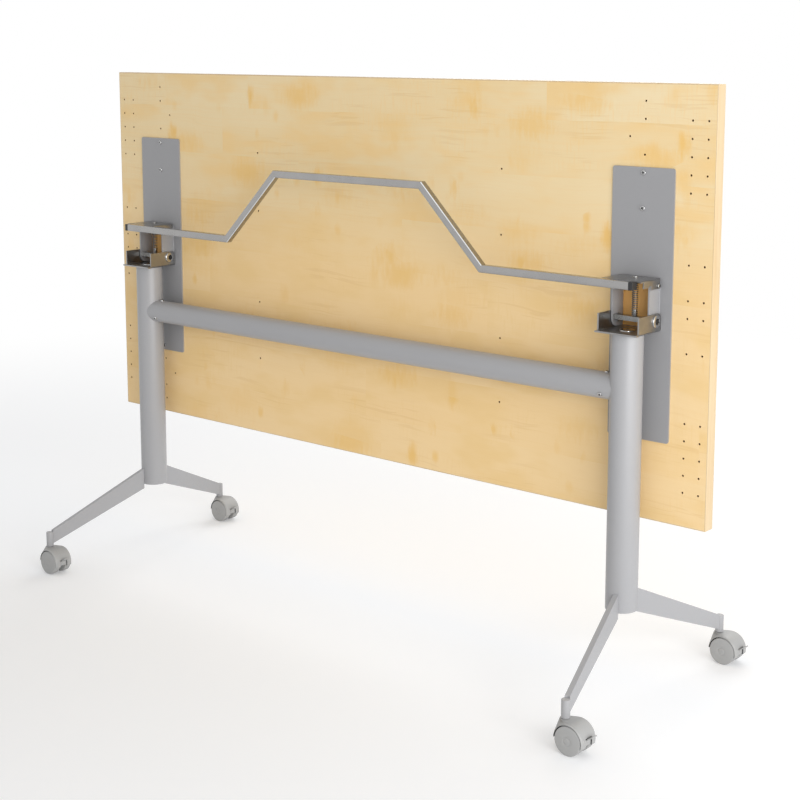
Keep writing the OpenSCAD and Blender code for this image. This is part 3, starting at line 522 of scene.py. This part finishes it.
class Tree:
    """A Geometry Nodes tree with named inputs for its sizes and finishes."""

    def __init__(self, name, sizes=(), finishes=()):
        self.group = bpy.data.node_groups.new(name, "GeometryNodeTree")
        face = self.group.interface
        face.new_socket("Geometry", in_out="INPUT", socket_type="NodeSocketGeometry")
        for label in sizes:
            face.new_socket(label, in_out="INPUT", socket_type="NodeSocketFloat")
        for label in finishes:
            face.new_socket(label, in_out="INPUT", socket_type="NodeSocketMaterial")
        face.new_socket("Geometry", in_out="OUTPUT", socket_type="NodeSocketGeometry")
        self.inputs = self.group.nodes.new("NodeGroupInput").outputs
        self.end = self.group.nodes.new("NodeGroupOutput")

    def node(self, kind, feeds=(), **settings):
        """A node of this tree."""
        return add_node(self.group, kind, feeds, **settings)

    def geometry(self, kind, feeds=(), **settings):
        """The shape that a node gives."""
        return self.node(kind, feeds, **settings).outputs["Geometry"]

    def mesh(self, kind, feeds):
        """The mesh that a node gives."""
        return self.node(kind, feeds).outputs["Mesh"]

    def maths(self, operation, first, second=0.0):
        """The result of one step of arithmetic."""
        return self.node("ShaderNodeMath", {0: first, 1: second}, operation=operation).outputs[0]

    def times(self, value, number):
        """The value multiplied by the number."""
        return self.maths("MULTIPLY", value, number)

    def vector(self, x, y, z):
        """Three numbers as one vector."""
        return self.node("ShaderNodeCombineXYZ", {0: x, 1: y, 2: z}).outputs[0]

    def raised(self, shape, height):
        """The shape moved up by the height."""
        return self.geometry("GeometryNodeTransform", {
            "Geometry": shape, "Translation": self.vector(0.0, 0.0, height)})

    def together(self, *shapes):
        """The shapes as one."""
        made = self.node("GeometryNodeJoinGeometry")
        for shape in shapes:
            self.group.links.new(shape, made.inputs["Geometry"])
        return made.outputs["Geometry"]

    def without(self, shape, *cutters):
        """The shape with the cutters taken away."""
        made = self.node("GeometryNodeMeshBoolean", {"Mesh 1": shape}, operation="DIFFERENCE")
        for cutter in cutters:
            self.group.links.new(cutter, made.inputs["Mesh 2"])
        return made.outputs["Mesh"]

    def flagged(self, shape, name):
        """The shape with a face attribute of that name, which picks its finish."""
        return self.geometry("GeometryNodeStoreNamedAttribute", {
            "Geometry": shape, "Name": name, "Value": True}, data_type="BOOLEAN", domain="FACE")

    def finish(self, shape, material, inner=None, flag=None):
        """Ends the tree: instances made real, then the finish, and the inner one on the flagged faces."""
        shape = self.geometry("GeometryNodeRealizeInstances", {"Geometry": shape})
        shape = self.geometry("GeometryNodeSetMaterial", {"Geometry": shape, "Material": material})
        if inner is not None:
            chosen = self.node("GeometryNodeInputNamedAttribute", {"Name": flag}, data_type="BOOLEAN")
            shape = self.geometry("GeometryNodeSetMaterial", {
                "Geometry": shape, "Material": inner, "Selection": chosen.outputs["Attribute"]})
        self.group.links.new(shape, self.end.inputs["Geometry"])
        return self.group


def crowned_head(tree, diameter, height, fullness):
    """A head that stands on Z = 0: a flat-bottomed dome, rounder with more fullness."""
    ball = tree.mesh("GeometryNodeMeshUVSphere", {"Segments": 40, "Rings": 20, "Radius": 1.0})
    place = tree.node("GeometryNodeInputPosition").outputs[0]
    x, y, z = tree.node("ShaderNodeSeparateXYZ", {0: place}).outputs
    across = tree.node("ShaderNodeVectorMath", {0: tree.vector(x, y, 0.0)},
                       operation="LENGTH").outputs["Value"]
    widen = tree.maths("POWER", tree.maths("MAXIMUM", across, 0.001),
                       tree.maths("SUBTRACT", fullness, 1.0))
    radius = tree.times(tree.times(diameter, 0.5), widen)
    up = tree.maths("POWER", tree.maths("MAXIMUM", z, 0.0), fullness)
    point = tree.vector(tree.times(x, radius), tree.times(y, radius), tree.times(up, height))
    return tree.geometry("GeometryNodeSetPosition", {"Geometry": ball, "Position": point})


def shank(tree, vertices):
    """A plain shank that hangs from just above Z = 0."""
    length = tree.inputs["Shank length"]
    rod = tree.mesh("GeometryNodeMeshCylinder", {
        "Vertices": vertices, "Radius": tree.times(tree.inputs["Shank diameter"], 0.5), "Depth": length})
    return tree.raised(rod, tree.times(length, -0.499))


def set_on_points(tree, shape, spin):
    """Instances of shape on the points, with +Z along each point's outward attribute and a chance
    turn about it of up to the spin."""
    outward = tree.node("GeometryNodeInputNamedAttribute", {"Name": "outward"}, data_type="FLOAT_VECTOR")
    aimed = tree.node("FunctionNodeAlignRotationToVector", {"Vector": outward.outputs["Attribute"]},
                      axis="Z")
    chance = tree.node("FunctionNodeRandomValue", {2: 0.0, 3: spin, "Seed": 4}, data_type="FLOAT")
    turn = tree.node("FunctionNodeEulerToRotation", {0: tree.vector(0.0, 0.0, chance.outputs[1])})
    whole = tree.node("FunctionNodeRotateRotation", {
        "Rotation": aimed.outputs[0], "Rotate By": turn.outputs[0]}, rotation_space="LOCAL")
    return tree.node("GeometryNodeInstanceOnPoints", {
        "Points": tree.inputs["Geometry"], "Instance": shape,
        "Rotation": whole.outputs[0]}).outputs["Instances"]


def cross_recess_screw():
    """Pan-head screws with a cross recess, its floor painted dark as shade, and a plain shank, one on each
    point.
    """
    tree = Tree("cross_recess_screw", ("Head diameter", "Head height", "Shank diameter", "Shank length"),
                ("Metal", "Painted shade"))
    diameter, height = tree.inputs["Head diameter"], tree.inputs["Head height"]
    head = crowned_head(tree, diameter, height, 0.55)
    arm_long, arm_wide = tree.times(diameter, 0.58), tree.times(diameter, 0.17)
    deep, thin, floor_up = tree.times(height, 1.7), tree.times(height, 0.1), tree.times(height, 0.2)
    cutters, floors = [], []
    for long_x, long_y in ((arm_long, arm_wide), (arm_wide, arm_long)):
        arm = tree.mesh("GeometryNodeMeshCube", {"Size": tree.vector(long_x, long_y, deep)})
        cutters.append(tree.raised(arm, height))
        floor = tree.mesh("GeometryNodeMeshCube", {"Size": tree.vector(long_x, long_y, thin)})
        floors.append(tree.raised(floor, floor_up))
    # Thin floors in the recess that carry the painted shade
    recess = tree.flagged(tree.together(*floors), "recess")
    whole = tree.together(tree.without(head, *cutters), recess, shank(tree, 20))
    screws = set_on_points(tree, whole, math.pi)
    return tree.finish(screws, tree.inputs["Metal"], tree.inputs["Painted shade"], "recess")


def hexagon_socket_bolt():
    """Bolts with a dished hexagon socket, one on each point. The socket's floor is painted dark as shade.
    """
    tree = Tree("hexagon_socket_bolt",
                ("Head diameter", "Head height", "Fullness", "Key diameter", "Key depth",
                 "Shank diameter", "Shank length"), ("Metal", "Painted shade"))
    height, depth = tree.inputs["Head height"], tree.inputs["Key depth"]
    key_r = tree.times(tree.inputs["Key diameter"], 0.5)
    head = crowned_head(tree, tree.inputs["Head diameter"], height, tree.inputs["Fullness"])
    cutter = tree.mesh("GeometryNodeMeshCylinder", {
        "Vertices": 6, "Radius": key_r, "Depth": tree.times(depth, 2.0)})
    mouth = tree.mesh("GeometryNodeMeshCone", {
        "Vertices": 40, "Radius Top": tree.times(key_r, 1.3), "Radius Bottom": tree.times(key_r, 0.7),
        "Depth": tree.times(key_r, 0.6)})
    mouth_up = tree.maths("SUBTRACT", height, tree.times(key_r, 0.22))
    dished = tree.without(head, tree.raised(cutter, height), tree.raised(mouth, mouth_up))
    floor = tree.mesh("GeometryNodeMeshCylinder", {
        "Vertices": 6, "Radius": tree.times(key_r, 0.995), "Depth": tree.times(depth, 0.1)})
    floor_up = tree.maths("SUBTRACT", height, tree.times(depth, 0.94))
    # A thin floor in the socket that carries the painted shade
    socket = tree.flagged(tree.raised(floor, floor_up), "socket_floor")
    bolts = set_on_points(tree, tree.together(dished, socket, shank(tree, 32)), math.pi / 3)
    return tree.finish(bolts, tree.inputs["Metal"], tree.inputs["Painted shade"], "socket_floor")


def coil_spring():
    """A coil of round wire that climbs along each point's outward direction."""
    tree = Tree("coil_spring", ("Coil radius", "Wire diameter", "Height", "Curls"), ("Metal",))
    radius = tree.inputs["Coil radius"]
    spiral = tree.node("GeometryNodeCurveSpiral", {
        "Resolution": 30, "Rotations": tree.inputs["Curls"], "Start Radius": radius,
        "End Radius": radius, "Height": tree.inputs["Height"]}).outputs["Curve"]
    section = tree.node("GeometryNodeCurvePrimitiveCircle", {
        "Resolution": 12, "Radius": tree.times(tree.inputs["Wire diameter"], 0.5)}).outputs["Curve"]
    wire = tree.mesh("GeometryNodeCurveToMesh", {
        "Curve": spiral, "Profile Curve": section, "Fill Caps": True})
    return tree.finish(set_on_points(tree, wire, 0.0), tree.inputs["Metal"])


def grown(name, group, places, values):
    """Runs a tree on points that each carry an outward direction, and bakes the result to one mesh."""
    mesh = bpy.data.meshes.new(name)
    mesh.from_pydata([tuple(point) for point, outward in places], [], [])
    outward_of = mesh.attributes.new("outward", "FLOAT_VECTOR", "POINT")
    for item, (point, outward) in zip(outward_of.data, places):
        item.vector = outward
    made = bpy.data.objects.new(name, mesh)
    bpy.context.scene.collection.objects.link(made)
    modifier = made.modifiers.new("Grown", "NODES")
    modifier.node_group = group
    items = group.interface.items_tree
    sockets = {item.name: item.identifier for item in items if item.in_out == "INPUT"}
    for label, value in values.items():
        modifier[sockets[label]] = value
    baked(made)
    made.data.shade_smooth()
    made.data.set_sharp_from_angle(angle=math.radians(SMOOTH_UP_TO))
    return made


# Worktop

def worktop_edging():
    """Edge band: one ring of edging, turned round the board's corners, with rounded long edges."""
    corner_r, eased_edge, turn_steps = 1.5 * MM, 1.1 * MM, 4
    low, high = board_low, board_high
    section = rounded([(EDGE_T, low.y), (0, low.y), (0, high.y), (EDGE_T, high.y)], eased_edge, 4)
    corner_x, corner_up = high.x - corner_r, (high.z - low.z) / 2 - corner_r
    shape = bmesh.new()
    rings = []
    for sx, sz, start in ((1, 1, 0), (-1, 1, 1), (-1, -1, 2), (1, -1, 3)):
        centre = Vector((sx * corner_x, 0, board_mid.z + sz * corner_up))
        for step in range(turn_steps + 1):
            turn = math.radians(90 * start + 90 * step / turn_steps)
            ring = []
            for inset, y in section:
                reach = corner_r - inset
                if reach >= 0:
                    point = centre + Vector((math.cos(turn), 0, math.sin(turn))) * reach
                else:
                    point = centre + Vector((sx, 0, sz)) * reach
                ring.append(shape.verts.new((point.x, y, point.z)))
            rings.append(ring)
    skinned(shape, rings, True)
    bmesh.ops.remove_doubles(shape, verts=shape.verts, dist=WELD)
    bmesh.ops.recalc_face_normals(shape, faces=shape.faces)
    return seated(as_piece("worktop_edging", shape, "maple_edge", 40), "edge_band")


# Frame

def column(side):
    """Column tube with eased rims."""
    inner, eased_rim = column_r - TUBE_WALL, 0.6 * MM
    section = rounded([(inner, column_foot), (column_r, column_foot), (column_r, column_top),
                       (inner, column_top), (inner, column_foot)], eased_rim, 3)
    shape = turned(section[:-1], standing(middle("column_" + side).x, 0), 128)
    return seated(as_piece("column_tube_" + side, shape, "silver_paint"), "column_" + side)


def crossbar():
    """Crossbar tube whose ends are cut to the round of the columns."""
    segments, inner = 128, crossbar_r - TUBE_WALL
    shape = bmesh.new()
    rings = []
    for way, r in ((-1, inner), (-1, crossbar_r), (1, crossbar_r), (1, inner)):
        ring = []
        for k in range(segments):
            a = 2 * math.pi * k / segments
            y, up = r * math.cos(a), r * math.sin(a)
            end = column_x - math.sqrt(column_r ** 2 - y ** 2)
            ring.append(shape.verts.new((way * end, y, crossbar_z + up)))
        rings.append(ring)
    skinned(shape, rings, True)
    bmesh.ops.recalc_face_normals(shape, faces=shape.faces)
    return seated(as_piece("crossbar_tube", shape, "silver_paint"), "crossbar")


def caster_socket(corner):
    """Socket tube at the tip of a foot arm, bored from below for the caster's stem."""
    node = "caster_socket_" + corner
    low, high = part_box(node)
    r, bore, bore_top = radius_of(node), 5.1 * MM, high.z - 5 * MM
    section = rounded([(0, high.z), (r, high.z), (r, low.z), (bore, low.z), (bore, bore_top),
                       (0, bore_top)], 0.8 * MM, 3)
    shape = turned(section, standing(middle(node).x, middle(node).y), 48)
    return seated(as_piece("caster_tube_" + corner, shape, "silver_paint"), node)


# Release bar

def paint_highlight_on_sloping_edges(made):
    """A painted highlight: a brighter finish on the front edges of the bar's sloping runs, where they
    face +X, for the highlight that the photo shows there."""
    least_slope, least_forward = 0.15, 0.3
    made.data.materials.append(FINISH["tube_edge_painted_highlight"])
    for face in made.data.polygons:
        if face.normal.x > least_slope and face.normal.y < -least_forward:
            face.material_index = 1


def release_bar():
    """Square tube with rounded long edges, mitred and welded at its four bends."""
    low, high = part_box("release_bar")
    bend_low, bend_high, corner = 350 * MM, 200 * MM, 2.4 * MM
    side = high.y - low.y
    rise = high.z - low.z - side
    z_low, y_mid, half = low.z + side / 2, (low.y + high.y) / 2, side / 2
    line = [(low.x, z_low), (-bend_low, z_low), (-bend_high, z_low + rise),
            (bend_high, z_low + rise), (bend_low, z_low), (high.x, z_low)]
    line = [Vector(p) for p in line]
    section = rounded([(-half, -half), (half, -half), (half, half), (-half, half)], corner, 5, True)
    shape = bmesh.new()
    rings = []
    for i, point in enumerate(line):
        before = (point - line[i - 1]).normalized() if i else (line[1] - line[0]).normalized()
        after = (line[i + 1] - point).normalized() if i < len(line) - 1 else before
        mitre = Vector((-(before + after).y, (before + after).x)).normalized()
        stretch = 1 / mitre.dot(Vector((-before.y, before.x)))
        ring = []
        for up, out in section:
            x, z = point.x + mitre.x * up * stretch, point.y + mitre.y * up * stretch
            ring.append(shape.verts.new((x, y_mid + out, z)))
        rings.append(ring)
    skinned(shape, rings, False)
    shape.faces.new(rings[0])
    shape.faces.new(rings[-1])
    bmesh.ops.recalc_face_normals(shape, faces=shape.faces)
    made = as_piece("release_bar_tube", shape, "satin_tube")
    paint_highlight_on_sloping_edges(made)
    return seated(made, "release_bar")


# Casters

def wheel(corner, out):
    """Solid wheel: domed outer face with a shallow hub ring, rounded tread, plain inner face."""
    node = "caster_wheel_" + corner + "_" + out
    low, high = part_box(node)
    r, crown = radius_of(node), (high.y - low.y) / 2
    outward = 1 if (out == "outer") == corner.startswith("rear") else -1
    dome, rim, inner_rim = 1.4 * MM, 2 * MM, 1.2 * MM
    rim_r, ring_r, ring_w, ring_deep = r - rim, 7 * MM, 0.8 * MM, 0.5 * MM

    def face(at):
        """How far out the domed face stands at that radius."""
        return crown - dome * (at / rim_r) ** 2

    section = [(at, face(at)) for at in (0, 3 * MM, ring_r - ring_w)]
    section += [(ring_r, face(ring_r) - ring_deep), (ring_r + ring_w, face(ring_r + ring_w))]
    section += [(at, face(at)) for at in (rim_r * share for share in (0.5, 0.6, 0.7, 0.8, 0.9, 1.0))]
    section += [(rim_r + rim * math.sin(a), face(rim_r) - rim * (1 - math.cos(a)))
                for a in (math.radians(15 * k) for k in range(1, 7))]
    section += [(r, inner_rim - crown), (r - inner_rim / 3, inner_rim / 3 - crown),
                (r - inner_rim, -crown), (0, -crown)]
    shape = turned(section, lying((low + high) / 2, outward), 72)
    return seated(as_piece("twin_wheel_" + corner + "_" + out, shape, "grey_tread", 40), node)


def caster_housing(corner):
    """Hooded housing. A darker finish inside and on its inner edge stands for the shade in the gap."""
    made = eased("caster_housing_" + corner, 0.8 * MM, 2, 40, 400 * MM * MM)
    made.data.materials.append(FINISH["hood_painted_shade"])
    axle = middle("caster_axle_" + corner)
    wheel_r = radius_of("caster_wheel_" + corner + "_outer")
    pocket, reach = wheel_r + 2 * MM, wheel_r + 3.8 * MM
    for face in made.data.polygons:
        arm = face.center - axle
        arm.y = 0
        if arm.length < pocket or arm.length < reach and face.normal.dot(arm) < 0.3 * arm.length:
            face.material_index = 1
    return made


# Fixings

def hinge_ends():
    """Each end of each flip pivot: direction along X and the hinge's middle."""
    for side in SIDES:
        for way in (-1, 1):
            yield way, middle("column_" + side).x


def fixing(name, group, places, node, metal, head, shank_size, key=()):
    """Screws or bolts on the places, for their node. Head and shank are a diameter and a length."""
    values = {"Head diameter": head[0], "Head height": head[1],
              "Shank diameter": shank_size[0], "Shank length": shank_size[1],
              # Recess and socket floors take the painted shade finish
              "Metal": FINISH[metal], "Painted shade": FINISH["socket_painted_shade"]}
    values.update(key)
    return seated(grown(name, group, places, values), node)


def plate_screws(screw):
    """Four screws down the middle of each mounting plate."""
    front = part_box("mounting_plate_left")[1].y - SHEET_T
    rows = [sign * row for sign in (-1, 1) for row in (176 * MM, 240 * MM)]
    places = [(Vector((middle("column_" + side).x, front, board_mid.z + row)), (0, -1, 0))
              for side in SIDES for row in rows]
    fixing("plate_pan_screws", screw, places, "plate_screws", "chrome_bolt",
           (10 * MM, 2.5 * MM), (4.4 * MM, 18 * MM))


def lever_screws(screw):
    """One screw through each side of each release lever, as its pivot."""
    centre, off_lever = middle("lever_pivot_screws"), 0.3 * MM
    lever_low, lever_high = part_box("release_lever_right")
    out = (lever_high.x - lever_low.x) / 2 + off_lever
    places = [(Vector((x + way * out, centre.y, centre.z)), (way, 0, 0)) for way, x in hinge_ends()]
    fixing("lever_pan_screws", screw, places, "lever_pivot_screws", "zinc_steel",
           (9 * MM, 2.8 * MM), (5 * MM, 9 * MM))


def pivot_bolts(bolt):
    """One bolt through each pair of hinge ears."""
    centre, out = middle("flip_pivot_bolts"), radius_of("hinge_bracket_right")
    places = [(Vector((x + way * out, centre.y, centre.z)), (way, 0, 0)) for way, x in hinge_ends()]
    fixing("flip_pivot_socket_bolts", bolt, places, "flip_pivot_bolts", "chrome_bolt",
           (24 * MM, 3.4 * MM), (10 * MM, 12 * MM),
           {"Fullness": 0.35, "Key diameter": 13 * MM, "Key depth": 2.8 * MM})


def bracket_bolts(bolt):
    """One low bolt down through each bracket's floor into the column."""
    floor_top = column_top + SHEET_T
    places = [(Vector((middle("column_" + side).x, 0, floor_top)), (0, 0, 1)) for side in SIDES]
    fixing("bracket_socket_bolts", bolt, places, "bracket_bolts", "chrome_bolt",
           (31 * MM, 1.8 * MM), (10 * MM, 20 * MM),
           {"Fullness": 0.5, "Key diameter": 8 * MM, "Key depth": 1.5 * MM})


def crossbar_screws(screw):
    """Three screws round each end of the crossbar."""
    from_column, turns = 12 * MM, (90, -30, 210)
    places = []
    for way in (-1, 1):
        x = way * (column_x - column_r - from_column)
        for a in (math.radians(turn) for turn in turns):
            outward = Vector((0, math.cos(a), math.sin(a)))
            places.append((Vector((x, 0, crossbar_z)) + outward * crossbar_r, outward))
    fixing("crossbar_pan_screws", screw, places, "crossbar_screws", "chrome_bolt",
           (9 * MM, 2.4 * MM), (5 * MM, 6 * MM))


def fixings():
    """Every screw and bolt that shows, made by two trees."""
    screw, bolt = cross_recess_screw(), hexagon_socket_bolt()
    plate_screws(screw)
    lever_screws(screw)
    pivot_bolts(bolt)
    bracket_bolts(bolt)
    crossbar_screws(screw)


def springs():
    """Return springs, each stretched between its seat on the worktop and the release lever."""
    tree = coil_spring()
    outside, wire, curls = 12 * MM, 1.8 * MM, 18.0
    for side in SIDES:
        node = "return_spring_" + side
        low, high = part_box(node)
        centre = (low + high) / 2
        foot = Vector((centre.x, centre.y, low.z + wire / 2))
        made = grown("spring_coil_" + side, tree, [(foot, (0, 0, 1))], {
            "Coil radius": (outside - wire) / 2, "Wire diameter": wire, "Height": high.z - low.z - wire,
            "Curls": curls, "Metal": FINISH["spring_steel"]})
        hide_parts(node)
        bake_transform(made)


# Studio

# Camera fitted to the photo's framing: metres, millimetres of lens, share of the frame, and degrees
CAMERA_PLACE = (2.1637, -2.3927, 1.2030)
CAMERA_LENS = 71.057
CAMERA_SHIFT = -0.14
CAMERA_PITCH = 8.904
CAMERA_TURN = 40.562

# Strength of the plain light, then the floor: paint, glow, and in metres its fade to white and half width
WORLD_LIGHT = 0.57
FLOOR_PAINT = (0.852, 0.858, 0.868, 1)
FLOOR_GLOW = 0.19
FLOOR_FADE = (1.6, 3.6)
FLOOR_HALF = 30.0

# Name, place, aim, width and height in metres, and watts
SOFTBOXES = (
    ("Key", (3.65, -1.8, 1.2), (0, 0, 0.6), (3.0, 2.0), 97),
    ("Side", (3.8, 1.2, 1.8), (0, 0, 0.6), (2.6, 2.2), 18),
    ("Back", (-0.8, 3.4, 2.8), (0, 0, 0.5), (3.4, 2.4), 60),
)


def camera():
    """The camera at the photo's viewing angle."""
    lens = bpy.data.cameras.new("Camera")
    lens.sensor_width = 36
    lens.lens = CAMERA_LENS
    lens.shift_y = CAMERA_SHIFT
    made = bpy.data.objects.new("Camera", lens)
    made.location = CAMERA_PLACE
    made.rotation_euler = (math.radians(90 - CAMERA_PITCH), 0, math.radians(CAMERA_TURN))
    bpy.context.scene.collection.objects.link(made)
    bpy.context.scene.camera = made


def seen_directly(tree):
    """1 for rays that show the background: camera, glossy and transmission rays."""
    path = add_node(tree, "ShaderNodeLightPath").outputs
    total = path["Is Camera Ray"]
    for name in ("Is Glossy Ray", "Is Transmission Ray"):
        total = add_node(tree, "ShaderNodeMath", {0: total, 1: path[name]}, operation="MAXIMUM").outputs[0]
    return total


def shader_mix(tree, share, first, second):
    """Shaders first and second, with share of the second."""
    return add_node(tree, "ShaderNodeMixShader", {0: share, 1: first, 2: second}).outputs[0]


def world():
    """White where the background shows, and a plain level of light on everything else."""
    made = bpy.data.worlds.new("Studio")
    bpy.context.scene.world = made
    made.use_nodes = True
    tree = made.node_tree
    tree.nodes.clear()
    shown = add_node(tree, "ShaderNodeBackground", {"Color": WHITE, "Strength": 1.0}).outputs[0]
    light = add_node(tree, "ShaderNodeBackground", {"Color": WHITE, "Strength": WORLD_LIGHT}).outputs[0]
    whole = shader_mix(tree, seen_directly(tree), light, shown)
    add_node(tree, "ShaderNodeOutputWorld", {"Surface": whole})


def floor_material():
    """White paint that keeps the shadows near the table and fades to plain white further out."""
    made = bpy.data.materials.new("studio_floor")
    made.use_nodes = True
    tree = made.node_tree
    tree.nodes.clear()
    paint = add_node(tree, "ShaderNodeBsdfDiffuse", {"Color": FLOOR_PAINT}).outputs[0]
    glow = add_node(tree, "ShaderNodeEmission", {"Strength": FLOOR_GLOW}).outputs[0]
    near = add_node(tree, "ShaderNodeAddShader", {0: paint, 1: glow}).outputs[0]
    plain = add_node(tree, "ShaderNodeEmission", {"Strength": 1.0}).outputs[0]
    place = add_node(tree, "ShaderNodeTexCoord").outputs["Object"]
    away = add_node(tree, "ShaderNodeVectorMath", {0: place}, operation="LENGTH").outputs["Value"]
    fade = add_node(tree, "ShaderNodeMapRange", {
        "Value": away, "From Min": FLOOR_FADE[0], "From Max": FLOOR_FADE[1]},
        interpolation_type="SMOOTHSTEP").outputs[0]
    shown = shader_mix(tree, fade, near, plain)
    whole = shader_mix(tree, seen_directly(tree), paint, shown)
    add_node(tree, "ShaderNodeOutputMaterial", {"Surface": whole})
    return made


def floor():
    """A wide plain floor, which is no part of the table."""
    mesh = bpy.data.meshes.new("Floor")
    corners = [(sx * FLOOR_HALF, sy * FLOOR_HALF, 0) for sx, sy in ((-1, -1), (1, -1), (1, 1), (-1, 1))]
    mesh.from_pydata(corners, [], [(0, 1, 2, 3)])
    mesh.materials.append(floor_material())
    made = bpy.data.objects.new("Floor", mesh)
    bpy.context.scene.collection.objects.link(made)


def softbox(name, place, aim, size, power):
    """A soft rectangular lamp at the place, turned to the aim."""
    light = bpy.data.lights.new(name, "AREA")
    light.shape = "RECTANGLE"
    light.size, light.size_y = size
    light.energy = power
    made = bpy.data.objects.new(name, light)
    made.location = place
    made.rotation_euler = (Vector(aim) - Vector(place)).to_track_quat("-Z", "Y").to_euler()
    bpy.context.scene.collection.objects.link(made)


def studio():
    """Background, floor and lamps."""
    world()
    floor()
    for values in SOFTBOXES:
        softbox(*values)
    bpy.context.scene.view_settings.view_transform = "Standard"


def main():
    """Dresses the plain CAD nodes, then makes the finer pieces that stand for some of them."""
    camera()
    studio()
    for node, made in frame["nodes"].items():
        made.data.materials.clear()
        made.data.materials.append(FINISH[SLOT_OF[node]])
    worktop_edging()
    for side in SIDES:
        column(side)
        # The mounting plates take the darker copy of the silver paint: painted shade
        eased("mounting_plate_" + side, 0.5 * MM, finish="plates_painted_shade")
        eased("hinge_bracket_" + side, 0.5 * MM)
        eased("release_lever_" + side, 0.4 * MM)
        eased("spring_seat_" + side, 0.4 * MM, finish="spring_steel")
    eased("spring_anchors_upper", 0.5 * MM)
    eased("spring_anchors_lower", 0.4 * MM, finish="spring_steel")
    eased("flip_pivot_nuts", 0.5 * MM)
    crossbar()
    release_bar()
    eased("bar_end_plugs", 0.8 * MM, 3)
    eased("column_caps", 0.6 * MM)
    for corner in CORNERS:
        caster_socket(corner)
        eased("foot_arm_" + corner, 0.8 * MM)
        caster_housing(corner)
        eased("brake_pedal_" + corner, 0.5 * MM)
        for out in ("outer", "inner"):
            wheel(corner, out)
    fixings()
    springs()


main()
